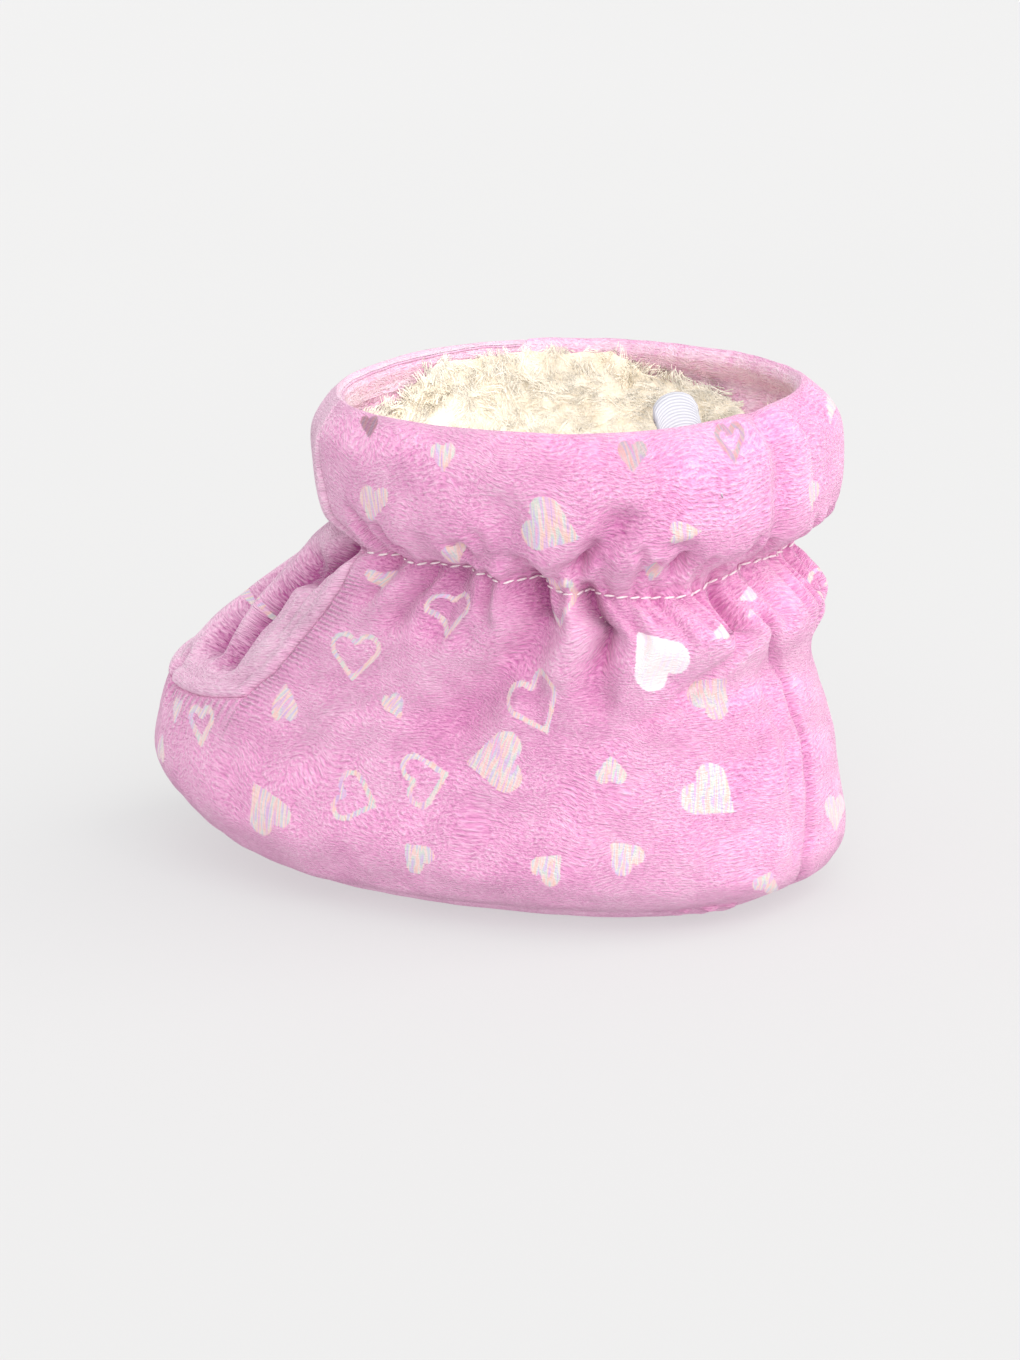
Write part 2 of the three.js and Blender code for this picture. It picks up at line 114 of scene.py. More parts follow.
MAIN_FOLDS = (
    Fold("apron_hollow", 12, 0.53, 36, 0.35, 10.6, 4.2),
    Fold("apron_tuck", 50, 0.65, 47, 0.54, 7.8, 3.9),
    Fold("apron_far_tuck", -50, 0.65, -42, 0.5, 7.8, 3.2),
    Fold("toe_tuck", 28, 0.31, 36, 0.24, 4.2, 1.1),
    Fold("side_gather_1", 72, 0.66, 70, 0.56, 5.3, 1.6),
    Fold("side_gather_2", 88, 0.66, 89, 0.54, 4.9, 1.8),
    Fold("side_fold", 110, 0.66, 101, 0.36, 6.0, 3.0),
    Fold("side_ridge", 102, 0.62, 90, 0.32, 7.1, -1.3),
    Fold("heel_fold", 125, 0.64, 128, 0.46, 4.9, 2.4),
    Fold("heel_dimple", 166, 0.65, 164, 0.57, 6.0, 2.3),
    Fold("cuff_fold_1", 103, 0.715, 104, 0.86, 5.6, 1.8),
    Fold("cuff_fold_2", 120, 0.71, 131, 0.84, 5.6, 2.7),
    Fold("cuff_fold_3", 149, 0.7, 146, 0.78, 5.3, 1.8),
    Fold("back_seam", 176, 0.14, 176, 0.6, 4.2, 0.85),
    Fold("back_seam_cuff", 175, 0.74, 177, 0.98, 4.2, 1.8),
    Fold("far_gather_1", -74, 0.66, -70, 0.55, 5.3, 2.0),
    Fold("far_gather_2", -94, 0.66, -90, 0.52, 5.3, 2.0),
    Fold("far_fold", -113, 0.66, -106, 0.4, 6.0, 2.7),
    Fold("far_heel_fold", -135, 0.66, -141, 0.48, 5.3, 2.4),
    Fold("far_heel_dimple", -158, 0.65, -156, 0.57, 5.6, 2.0),
    Fold("far_cuff_fold_1", -98, 0.69, -104, 0.85, 5.6, 2.1),
    Fold("far_cuff_fold_2", -142, 0.69, -136, 0.86, 5.6, 2.4),
    Fold("front_cuff_dip", 2, 0.75, -4, 0.92, 9.2, 1.4),
)
FINE_FOLDS = (
    Fold("apron_trough", 51, 0.665, 48, 0.55, 4.8, 3.2, 1.1),
    Fold("apron_valley_top", 36, 0.58, 43, 0.45, 6.2, 3.6, 1.0),
    Fold("apron_valley_foot", 43, 0.45, 49, 0.345, 5.4, 3.4, 1.0),
    Fold("apron_near_ridge", 54, 0.58, 58, 0.38, 3.0, -0.8, 1.0),
    Fold("apron_far_ridge", 17, 0.52, 30, 0.34, 5.0, -1.0, 1.0),
    Fold("apron_side_crease", 54, 0.54, 57, 0.44, 1.8, 0.9, 1.2),
    Fold("gather_1", 83, 0.66, 83, 0.53, 2.6, 2.2, 1.3),
    Fold("gather_2", 91, 0.66, 92, 0.52, 2.2, 1.6, 1.3),
    Fold("gather_3", 98, 0.66, 97, 0.54, 2.4, 1.5, 1.3),
    Fold("gather_4", 108, 0.66, 114, 0.46, 3.2, 1.9, 1.2),
    Fold("gather_5", 125, 0.66, 126, 0.53, 2.8, 1.8, 1.3),
    Fold("gather_6", 135, 0.66, 135, 0.55, 2.4, 1.2, 1.3),
    Fold("gather_ridge_1", 87, 0.63, 87, 0.54, 2.6, -0.7, 1.0),
    Fold("gather_ridge_2", 103, 0.63, 103, 0.5, 3.2, -0.9, 1.0),
    Fold("gather_ridge_3", 119, 0.63, 119, 0.5, 3.4, -0.9, 1.0),
    Fold("heel_crease", 124, 0.665, 127, 0.52, 2.2, 1.6, 1.6),
    Fold("side_crease", 109, 0.665, 108, 0.5, 3.0, 0.9, 1.2),
    Fold("side_nick_1", 87, 0.66, 87, 0.58, 1.6, 0.8, 1.4),
    Fold("side_nick_2", 94.5, 0.66, 94, 0.57, 1.5, 0.8, 1.4),
    Fold("heel_slant", 138, 0.42, 165, 0.56, 5.0, 1.1, 1.0),
    Fold("heel_pit", 167, 0.655, 166, 0.61, 2.6, 1.6, 1.4),
    Fold("cuff_crease_1", 98, 0.7, 97, 0.79, 2.0, 1.1, 1.4),
    Fold("cuff_crease_2", 121, 0.69, 123, 0.78, 2.4, 1.5, 1.5),
    Fold("cuff_crease_3", 140, 0.69, 140, 0.74, 2.0, 1.3, 1.5),
    Fold("cuff_crease_4", 150, 0.69, 148, 0.74, 2.2, 1.2, 1.5),
    Fold("cuff_crease_5", 76, 0.69, 74, 0.77, 2.2, 1.3, 1.4),
    Fold("cuff_crease_6", 68, 0.7, 66, 0.79, 2.4, 1.2, 1.4),
)


def smooth_step(value: Array, low: float, high: float) -> Array:
    """Return the soft step of a value from 0 at low to 1 at high."""
    share = np.clip((value - low) / (high - low), 0.0, 1.0)
    return share * share * (3.0 - 2.0 * share)


def unit(vectors: Array) -> Array:
    """Return vectors of length one, along the last axis."""
    return vectors / np.maximum(np.linalg.norm(vectors, axis=-1, keepdims=True), 1e-9)


def soft_noise(points: Array, size: float, seed: float = 0.0) -> Array:
    """Return smooth noise from -1 to 1 at points.

    Args:
        points: Places in millimetres, one a row.
        size: Width of one lump in millimetres.
        seed: Shift that gives another pattern.

    Returns:
        One value a point.
    """
    shifted = points / size + seed
    return np.fromiter((noise.noise(Vector(row)) for row in shifted), float, len(shifted))


@dataclass
class Surface:
    """Places on the skin with what the cloth needs to know about each."""

    angle: Array
    level: Array
    form: Array
    normal: Array
    around: Array
    upward: Array
    hollow: Array
    points: Array


@dataclass
class Last:
    """The last: the rounded body that every cloth piece is laid over."""

    length: float = 128.5
    ball_width: float = 70.6
    ankle_height: float = 54.5
    collar_length: float = 86.5
    collar_width: float = 69.0
    cuff_height: float = 26.0
    toe_spring: float = 7.0
    flat_share: float = 0.6
    spring_bend: float = 1.4
    seat: float = 3.3
    heel_power: float = 2.36
    toe_power: float = 2.16
    pinch: float = 1.0
    gathers: int = 20
    shift: float = -0.06
    step: float = 0.004
    rows: Array = field(init=False)

    def __post_init__(self) -> None:
        """Turn the tables' shares into real sizes."""
        foot = (self.length, self.ball_width, self.seat, self.ankle_height - self.seat)
        shaft = (self.collar_length, self.collar_width, self.ankle_height, self.cuff_height)
        rows = [self._real(row, *foot) for row in FOOT_SECTIONS]
        rows += [self._real(row, *shaft) for row in SHAFT_SECTIONS]
        self.rows = np.array(rows)

    def _real(self, row: Section, length: float, width: float, base: float, rise: float) -> tuple[float, ...]:
        """Return a section's eight values, with the first six as real sizes.

        Args:
            row: The section, in shares.
            length: The length that its stations along the shoe are shares of.
            width: The width that its own is a share of.
            base: Height where its heights start.
            rise: The rise that its heights are shares of.

        Returns:
            Its back, front and middle, half width, low and high height, bend and spring.
        """
        heel = -self.length / 2
        stations = (heel + share * length for share in (row.back, row.front, row.mid))
        heights = (base + share * rise for share in (row.low, row.high))
        return (*stations, row.width * width / 2, *heights, row.bend, row.spring)

    def section_at(self, level: Array) -> Array:
        """Return the section's eight values at each level, on a smooth curve through the rows."""
        last = len(self.rows) - 1
        place = np.clip(level, 0.0, 1.0) * last
        first = np.minimum(place.astype(int), last - 1)
        share = (place - first)[..., None]
        a, b, c, d = (self.rows[np.clip(first + k, 0, last)] for k in (-1, 0, 1, 2))
        square = (2 * a - 5 * b + 4 * c - d) * share**2
        cube = (3 * b - a - 3 * c + d) * share**3
        return (2 * b + (c - a) * share + square + cube) / 2

    def spring_at(self, share: Array) -> Array:
        """Return the lift of the sole at a share of its length from the heel."""
        past = np.maximum(share - self.flat_share, 0.0) / (1 - self.flat_share)
        return self.toe_spring * past**self.spring_bend

    def sole_rise(self, x: Array) -> Array:
        """Return the lift of the sole at a station along the shoe."""
        back, front = self.rows[0][0], self.rows[0][1]
        return self.spring_at(np.clip((x - back) / (front - back), 0.0, 1.0))

    def form_point(self, angle: Array, level: Array) -> Array:
        """Return points of the unfolded outer surface."""
        parts = np.moveaxis(self.section_at(level), -1, 0)
        back, front, mid, half, low, high, bend, spring = parts
        c, s = np.cos(angle), np.sin(angle)
        power = 2 / np.where(c > 0, self.toe_power, self.heel_power)
        reach = np.where(c > 0, front - mid, mid - back)
        x = mid + reach * np.sign(c) * np.abs(c) ** power
        y = half * np.sign(s) * np.abs(s) ** power
        share = np.clip((x - back) / (front - back), 0.0, 1.0)
        z = low + (high - low) * share**bend + spring * self.spring_at(share)
        return np.stack([x, y, z], -1)

    def form_frame(self, angle: Array, level: Array) -> tuple[Array, Array, Array]:
        """Return the outward normal and the surface's run per radian and per level."""
        low = np.clip(level - self.step, 0.0, 1.0)
        high = np.clip(level + self.step, 0.0, 1.0)
        along = self.form_point(angle + self.step, level) - self.form_point(angle - self.step, level)
        up = self.form_point(angle, high) - self.form_point(angle, low)
        normal = unit(np.cross(along, up))
        flat = unit(np.stack([along[..., 1], -along[..., 0], np.zeros_like(along[..., 0])], -1))
        blend = (1 - smooth_step(level, 0.0, 0.1))[..., None]
        normal = unit(normal * (1 - blend) + flat * blend)
        return normal, along / (2 * self.step), up / np.maximum(high - low, 1e-6)[..., None]

    def fold_depth(self, fold: Fold, angle: Array, level: Array, radius: Array) -> Array:
        """Return the depth of one fold at each place, in millimetres."""
        along = (level - fold.level) / (fold.to_level - fold.level)
        fade = smooth_step(along, -0.25, 0.125) * (1 - smooth_step(along, 0.875, 1.25))
        centre = np.radians(fold.angle + (fold.to_angle - fold.angle) * np.clip(along, 0.0, 1.0))
        turn = np.arctan2(np.sin(angle - centre), np.cos(angle - centre))
        across = np.minimum(np.abs(turn * radius) / fold.half, 1.0)
        return fold.depth * fade * np.cos(across * math.pi / 2) ** (2 * fold.sharp)

    def gather_depth(self, angle: Array, level: Array) -> Array:
        """Return the depth of the small gathers at the elastic."""
        near = 1 - smooth_step(np.abs(level - ELASTIC), 0.0, 0.1)
        return self.pinch * near * np.cos(self.gathers * angle / 2) ** 2

    def surface(self, angle: Array, level: Array, depth: Array, folds: tuple[Fold, ...]) -> Surface:
        """Lay a cloth surface under the outer skin.

        Args:
            angle: Angle of each place in radians.
            level: Level of each place.
            depth: Depth of each place under the skin.
            folds: The folds that it follows.

        Returns:
            The surface, with its points in the model's frame.
        """
        form = self.form_point(angle, level)
        normal, around, upward = self.form_frame(angle, level)
        mid = self.section_at(level)[..., 2]
        radius = np.hypot(form[..., 0] - mid, form[..., 1])
        hollow = self.gather_depth(angle, level)
        for fold in folds:
            hollow = hollow + self.fold_depth(fold, angle, level, radius)
        points = form - normal * (depth + hollow)[..., None]
        points[..., :2] += self.shift
        return Surface(angle, level, form, normal, around, upward, hollow, points)

    def even_angles(self, share: Array, level: float) -> Array:
        """Return angles that divide a section's outline into even lengths."""
        angles = np.linspace(0.0, 2 * math.pi, 2001)
        ring = self.form_point(angles, np.full_like(angles, level))
        run = np.concatenate([[0.0], np.cumsum(np.linalg.norm(np.diff(ring, axis=0), axis=1))])
        return np.interp(share * run[-1], run, angles)


@dataclass
class ApronSeam:
    """The outline of the apron: two side seams and a toe seam that rounds up into them."""

    toe_level: float = 0.255
    corner: float = 0.06
    levels: tuple[float, ...] = (0.33, 0.375, 0.44, 0.535, 0.58, 0.655, 0.72, 0.85, 1.0)
    angles: tuple[float, ...] = (64.5, 66.0, 65.0, 64.0, 63.0, 60.0, 56.0, 51.0, 50.0)
    radius: float = 33.0
    side_run: float = 150.0

    def half_angle(self, level: Array) -> Array:
        """Return the seam's angle from the toe line in radians."""
        return np.radians(np.interp(level, self.levels, self.angles))

    def toe_at(self, across: Array) -> Array:
        """Return the level of the toe seam at a share across the apron."""
        return self.toe_level + self.corner * np.abs(across) ** 4

    def outside(self, angle: Array, level: Array, around: Array, upward: Array) -> Array:
        """Return the distance outside the seam in millimetres, negative within the apron."""
        turn = np.abs(np.arctan2(np.sin(angle), np.cos(angle)))
        half = self.half_angle(level)
        side = (turn - half) * np.linalg.norm(around, axis=-1)
        across = np.minimum(turn / half, 1.15)
        toe = (self.toe_at(across) - level) * np.linalg.norm(upward, axis=-1)
        return np.maximum(side, toe)

    def run(self, surface: Surface) -> Array:
        """Return the distance along the seam from the toe line in millimetres."""
        turn = np.abs(np.arctan2(np.sin(surface.angle), np.cos(surface.angle)))
        half = self.half_angle(surface.level)
        along_side = half * self.radius + (surface.level - 0.3) * self.side_run
        return np.where(turn > half, along_side, turn * self.radius)


# Printed hearts
class Kind(Enum):
    """How a heart is printed."""

    SOLID = "solid"
    OUTLINE = "outline"


@dataclass(frozen=True)
class Heart:
    """A printed heart: its middle, its size as it looks, and the way its tip points.

    The tip is in degrees, clockwise from straight up as it looks from outside.
    """

    angle: float
    level: float
    width: float
    height: float
    tip: float
    kind: Kind = Kind.SOLID
    # Painted reflection of the foil: below 0 towards a blown white highlight, above 0 darker
    tone: float = 0.0


# Hearts of the side that faces the camera, charted against lines of angle and level laid over the photograph;
# a tone of -1 paints a heart's foil blown white as a painted highlight, and 1 paints it dark as a painted
# reflection
NEAR_HEARTS = (
    Heart(72.0, 0.965, 2.9, 3.8, 180, tone=1.0),
    Heart(93.0, 0.93, 3.9, 4.7, 178),
    Heart(75.0, 0.82, 4.6, 5.8, 190),
    Heart(91.5, 0.715, 3.1, 3.8, 170),
    Heart(72.0, 0.6, 4.0, 4.3, 182),
    Heart(92.5, 0.385, 3.2, 4.7, 160),
    Heart(73.5, 0.335, 4.4, 6.3, 2),
    Heart(78.5, 0.195, 6.6, 9.2, 334),
    Heart(102.0, 0.178, 5.4, 4.9, 315),
    Heart(110.5, 0.32, 9.0, 9.6, 268),
    Heart(115.0, 0.82, 9.4, 7.9, 112),
    Heart(136.0, 0.94, 4.5, 5.0, 180, tone=0.6),
    Heart(146.5, 0.805, 5.0, 3.9, 84),
    Heart(185.0, 0.81, 3.0, 5.3, 188),
    Heart(205.0, 0.93, 1.6, 5.2, 180),
    Heart(142.0, 0.7, 3.6, 2.6, 180),
    Heart(138.5, 0.557, 8.8, 9.6, 322, tone=-0.65),
    Heart(157.0, 0.595, 2.8, 2.8, 2, tone=-0.1),
    Heart(158.0, 0.48, 6.9, 6.3, 36, tone=0.3),
    Heart(131.5, 0.33, 4.9, 4.6, 0),
    Heart(153.5, 0.285, 9.2, 8.3, 128),
    Heart(135.5, 0.205, 6.1, 5.4, 318),
    Heart(123.0, 0.185, 6.1, 4.5, 42),
    Heart(167.0, 0.12, 4.6, 3.4, 20),
    Heart(190.0, 0.2, 4.0, 6.0, 180),
    Heart(80.0, 0.455, 8.1, 7.8, 186, Kind.OUTLINE),
    Heart(92.0, 0.57, 7.7, 7.2, 178, Kind.OUTLINE),
    Heart(93.0, 0.23, 7.0, 8.6, 108, Kind.OUTLINE),
    Heart(101.5, 0.275, 7.2, 9.0, 76, Kind.OUTLINE),
    Heart(115.0, 0.63, 6.5, 7.4, 176, Kind.OUTLINE),
    Heart(115.0, 0.44, 8.5, 9.6, 155, Kind.OUTLINE),
    Heart(163.0, 0.94, 4.6, 6.6, 171, Kind.OUTLINE, 0.7),
    Heart(174.0, 0.64, 2.6, 2.0, 250, tone=-0.2),
    Heart(171.0, 0.615, 1.8, 1.4, 110, tone=-0.2),
    Heart(57.0, 0.245, 4.6, 7.2, 178, Kind.OUTLINE),
    Heart(40.0, 0.45, 0.9, 4.4, 180),
    Heart(15.0, 0.42, 2.6, 1.6, 140),
    Heart(45.0, 0.24, 1.6, 4.8, 190),
)


@dataclass
class HeartPrint:
    """The print of the velour: hearts seen from the camera's side, and a loose repeat on the rest."""

    right: Vector
    up: Vector
    seed: int = 11
    mm_per_degree: float = 0.6
    mm_per_level: float = 80.0
    clear_share: float = 0.62
    clear_mm: float = 0.8
    far: list[Heart] = field(init=False)

    def __post_init__(self) -> None:
        """Scatter the hearts that the camera does not see."""
        rng = random.Random(self.seed)
        self.far = []
        for row, level in enumerate((0.13, 0.24, 0.36, 0.47, 0.58, 0.79, 0.92)):
            count = 11 if level < 0.6 else 9
            for k in range(count):
                angle = 206 + (152 * (k + 0.5 * (row % 2))) / count + rng.uniform(-3, 3)
                if level > 0.27 and angle > 292:
                    continue
                size = rng.choice((3.8, 4.6, 6.0, 7.4, 8.2))
                kind = Kind.OUTLINE if size > 5 and rng.random() < 0.4 else Kind.SOLID
                place = level + rng.uniform(-0.02, 0.02)
                height = size * rng.uniform(0.9, 1.1)
                heart = Heart(angle, place, size, height, rng.uniform(0, 360), kind)
                if self._clear(heart):
                    self.far.append(heart)
        for angle in (4.0, 24.0, 41.0):
            size = rng.choice((5.0, 7.0, 9.0))
            self.far.append(Heart(angle, rng.uniform(0.1, 0.2), size, size, rng.uniform(0, 360)))

    def _clear(self, heart: Heart) -> bool:
        """Return whether a heart keeps clear of all those placed so far."""
        for other in (*NEAR_HEARTS, *self.far):
            along = (heart.angle - other.angle) * self.mm_per_degree
            upward = (heart.level - other.level) * self.mm_per_level
            if math.hypot(along, upward) < self.clear_share * (heart.width + other.width) + self.clear_mm:
                return False
        return True

    def signed(self, x: Array, y: Array) -> Array:
        """Return the distance inside a heart of unit size, its tip at the bottom.

        Args:
            x: Places across, in heart widths.
            y: Places up, in heart heights, from the heart's middle.

        Returns:
            Distances in heart widths, positive inside.
        """
        lobe_at, lobe_radius = 0.235, 0.265
        tip_at, notch_at = -0.66, 0.1225
        # The straight sides' run across and up, in shares of one
        run, rise = 0.667, 0.745
        x = np.abs(x)
        y = y * 0.925 - 0.1975
        beyond = x - lobe_at
        lobe = lobe_radius - np.hypot(beyond, y)
        side = run * (y - tip_at) - rise * x
        notch = np.hypot(x, y - notch_at)
        inner = (beyond < 0) & (y < -0.521 * beyond)
        below = (beyond >= 0) & (run * beyond + rise * y < 0)
        return np.where(inner, np.minimum(notch, side), np.where(below, side, lobe))

    def values(self, last: Last, form: Array) -> dict[str, Array]:
        """Return the print's named values at each place.

        Args:
            last: The last that carries the cloth.
            form: The unfolded surface at each place.

        Returns:
            The signed distance to the nearest heart, whether it is an outline, and its tone, which paints its
            foil's reflection from a blown white highlight to dark.
        """
        foil = np.full(len(form), NO_FOIL)
        ring = np.zeros(len(form))
        tone = np.zeros(len(form))
        for number, heart in enumerate((*NEAR_HEARTS, *self.far)):
            middle = np.array([math.radians(heart.angle)]), np.array([heart.level])
            centre = last.form_point(*middle)[0]
            _, around, upward = (row[0] for row in last.form_frame(*middle))
            if number < len(NEAR_HEARTS):
                across, rise = np.array(self.right), np.array(self.up)
            else:
                across, rise = unit(around), unit(upward)
            offset = form - centre
            close = np.nonzero(np.linalg.norm(offset, axis=1) < 0.9 * (heart.width + heart.height) + 2)[0]
            u, v = offset[close] @ across, offset[close] @ rise
            turn = math.radians(heart.tip)
            tip = u * math.sin(turn) + v * math.cos(turn)
            side = u * math.cos(turn) - v * math.sin(turn)
            # The chart's width and height lie level and upright, so they swap as the heart turns
            level_share = abs(math.sin(turn)) ** 2
            wide = heart.width + (heart.height - heart.width) * level_share
            tall = heart.height + (heart.width - heart.height) * level_share
            inside = self.signed(side / wide, -tip / tall) * min(wide, tall)
            better = inside > foil[close]
            chosen = close[better]
            foil[chosen] = inside[better]
            ring[chosen] = float(heart.kind is Kind.OUTLINE)
            tone[chosen] = heart.tone
        return {"foil": np.maximum(foil, NO_FOIL), "ring": ring, "tone": tone}


def srgb(code: str) -> tuple[float, float, float, float]:
    """Return a linear colour from an sRGB hex value."""
    parts = [int(code[k : k + 2], 16) / 255 for k in (1, 3, 5)]
    linear = [p / 12.92 if p <= 0.04045 else ((p + 0.055) / 1.055) ** 2.4 for p in parts]
    return (linear[0], linear[1], linear[2], 1.0)


def add_node(tree: Tree, kind: str, settings: dict, links: dict | None = None, out: int | str = 0) -> Socket:
    """Add a node with its settings and links.

    Args:
        tree: The material's node tree.
        kind: The node's type name, without the ShaderNode that it starts with.
        settings: Values by property name, or by socket name or number for a socket.
        links: Output sockets by the name or number of the input socket that each one feeds.
        out: The name or number of the output that is wanted.

    Returns:
        The wanted output of the new node.
    """
    made = tree.nodes.new("ShaderNode" + kind)
    for key, value in settings.items():
        if key == "stops":
            ramp = made.color_ramp
            while len(ramp.elements) < len(value):
                ramp.elements.new(0.5)
            for element, (place, code) in zip(ramp.elements, value):
                element.position = place
                element.color = srgb(code)
        elif isinstance(key, int) or key in made.inputs:
            made.inputs[key].default_value = value
        else:
            setattr(made, key, value)
    for key, socket in (links or {}).items():
        tree.links.new(socket, made.inputs[key])
    return made.outputs[out]


def new_material(name: str, draw: Callable[[Tree], Socket]) -> bpy.types.Material:
    """Make a material.

    Args:
        name: What the material is.
        draw: Adds the material's nodes to a tree and returns its shader.

    Returns:
        The material.
    """
    made = bpy.data.materials.new(name)
    made.use_nodes = True
    tree = made.node_tree
    tree.nodes.clear()
    end = tree.nodes.new("ShaderNodeOutputMaterial")
    tree.links.new(draw(tree), end.inputs["Surface"])
    return made


# Finishes
PEARL_TINTS = (
    (0.3, "#cba8d2"),
    (0.39, "#e2b6d2"),
    (0.45, "#e9c1b2"),
    (0.5, "#e8cbce"),
    (0.55, "#c8d2c6"),
    (0.61, "#cbb7da"),
    (0.7, "#e6abcb"),
)


@dataclass(frozen=True)
class Velour:
    """Printed polyester velour: a short dense pile that is light across its nap, with painted shade deep in
    its folds and painted light on its tufts.
    """

    name: str
    mid: str
    light: str
    deep_shade: str
    pile_mm: float = 0.32
    course_mm: float = 0.85
    pucker_mm: float = 1.25
    outline_mm: float = 0.8

    def material(self) -> bpy.types.Material:
        """Build the velour's material."""
        return new_material(self.name, self._shader)

    def _shader(self, tree: Tree) -> Socket:
        """Return the velour's shader."""
        pile = self._pile(tree, self._flow(tree))
        pucker = self._pucker(tree)
        colour = self._colour(tree, pile, pucker)
        relief = add_node(tree, "Math", {"operation": "MULTIPLY_ADD", 1: 0.5}, {0: pile, 2: pucker})
        free, pressed = (
            add_node(tree, "Bump", {"Strength": strength, "Distance": MM}, {"Height": relief})
            for strength in (0.75, 0.35)
        )
        settings = {
            "Roughness": 0.85,
            "Sheen Weight": 0.5,
            "Sheen Roughness": 0.45,
            "Sheen Tint": srgb("#fff0fa"),
        }
        return add_node(tree, "BsdfPrincipled", settings, self._foil(tree, pile, colour, free, pressed))

    def _flow(self, tree: Tree) -> Socket:
        """Return the cloth's own coordinates in millimetres, bent by the lie of the nap."""
        chart = add_node(tree, "UVMap", {"uv_map": "cloth"})
        plain = add_node(tree, "VectorMath", {"operation": "SCALE", "Scale": CHART_MM}, {0: chart})
        drift = add_node(tree, "TexNoise", {"Scale": 0.07, "Detail": 1.0}, {"Vector": plain}, out=1)
        centred = add_node(tree, "VectorMath", {"operation": "SUBTRACT", 1: (0.5, 0.5, 0.5)}, {0: drift})
        bent = add_node(tree, "VectorMath", {"operation": "SCALE", "Scale": 9.0}, {0: centred})
        return add_node(tree, "VectorMath", {"operation": "ADD"}, {0: plain, 1: bent})

    def _pile(self, tree: Tree, cloth: Socket) -> Socket:
        """Return the height of the pile from 0 to 1: short tufts that lie along the nap in faint courses."""
        tufts = self._strokes(tree, cloth, 1.0, -0.42)
        fibres = self._strokes(tree, cloth, 0.42, -0.6)
        settings = {
            "bands_direction": "Y",
            "Scale": WAVE_SCALE / self.course_mm,
            "Distortion": 1.8,
            "Detail": 2.0,
            "Detail Scale": 1.9,
        }
        courses = add_node(tree, "TexWave", settings, {"Vector": cloth}, out=1)
        wide = add_node(tree, "Math", {"operation": "MULTIPLY_ADD", 1: 1.6, 2: -0.6}, {0: tufts})
        fine = add_node(tree, "Math", {"operation": "MULTIPLY_ADD", 1: 0.5}, {0: fibres, 2: wide})
        return add_node(tree, "Math", {"operation": "MULTIPLY_ADD", 1: 0.17}, {0: courses, 2: fine})

    def _strokes(self, tree: Tree, cloth: Socket, share: float, turn: float) -> Socket:
        """Return noise drawn out into short strokes.

        Args:
            tree: The material's node tree.
            cloth: The cloth's own coordinates.
            share: Size of a stroke as a share of one tuft.
            turn: How far the strokes turn from the courses in radians.

        Returns:
            Values about 0.5.
        """
        thin = self.pile_mm * share
        settings = {"Rotation": (0.0, 0.0, turn), "Scale": (1 / (thin * 2.6), 1 / thin, 1.0)}
        lean = add_node(tree, "Mapping", settings, {"Vector": cloth})
        return add_node(tree, "TexNoise", {"Scale": 1.0, "Detail": 1.0, "Roughness": 0.5}, {"Vector": lean})

    def _colour(self, tree: Tree, pile: Socket, pucker: Socket) -> Socket:
        """Return the pile's colour from its deep shade colour through its middle tone to its light one: soft
        nap patches, with painted shade in the folds, creases, pucker troughs and gaps between tufts, and
        painted light on tuft tips, pucker ridges and the cuff's facing.
        """
        body = add_node(tree, "TexCoord", {}, out="Object")
        # The nap lies in soft patches some 5 mm and 16 mm wide
        patches = add_node(tree, "TexNoise", {"Scale": 200.0, "Detail": 2.0}, {"Vector": body})
        broad = add_node(tree, "TexNoise", {"Scale": 62.0, "Detail": 1.0}, {"Vector": body})
        naps = add_node(tree, "Math", {"operation": "ADD"}, {0: patches, 1: broad})
        tone = add_node(tree, "Math", {"operation": "MULTIPLY", 1: 0.28}, {0: naps})
        hollow = add_node(tree, "Attribute", {"attribute_name": "hollow"}, out="Fac")
        # Painted shade and light: the pile's height darkens the gaps between tufts and lightens their tips,
        # the puckers darken their troughs and lighten their ridges, and the hollow value darkens folds and
        # creases and lightens the facing inside the rim.
        for share, value in ((0.5, pile), (0.4, pucker), (-0.055, hollow)):
            tone = add_node(tree, "Math", {"operation": "MULTIPLY_ADD", 1: share}, {0: value, 2: tone})
        stops = [(0.0, self.deep_shade), (0.5, self.mid), (1.0, self.light)]
        return add_node(tree, "ValToRGB", {"stops": stops}, {0: tone})

    def _pucker(self, tree: Tree) -> Socket:
        """Return the height of the puckers that the apron's seam draws into the cloth beside it."""
        run = add_node(tree, "Attribute", {"attribute_name": "seam_run"}, out="Fac")
        strength = add_node(tree, "Attribute", {"attribute_name": "pucker"}, out="Fac")
        phase = add_node(tree, "Math", {"operation": "MULTIPLY", 1: 2 * math.pi / self.pucker_mm}, {0: run})
        wave = add_node(tree, "Math", {"operation": "SINE"}, {0: phase})
        return add_node(tree, "Math", {"operation": "MULTIPLY"}, {0: wave, 1: strength})

    def _foil(
        self, tree: Tree, pile: Socket, colour: Socket, free: Socket, pressed: Socket
    ) -> dict[str, Socket]:
        """Lay the pearly foil of the printed hearts over the pile, with each heart's painted reflection, from
        blown white glare to dark.

        Args:
            tree: The material's node tree.
            pile: The height of the pile.
            colour: The pile's colour.
            free: The normal of the free pile.
            pressed: The normal of the pile that the foil presses flat.

        Returns:
            The shader's links.
        """
        inside, ring, tone = (
            add_node(tree, "Attribute", {"attribute_name": name}, out="Fac")
            for name in ("foil", "ring", "tone")
        )
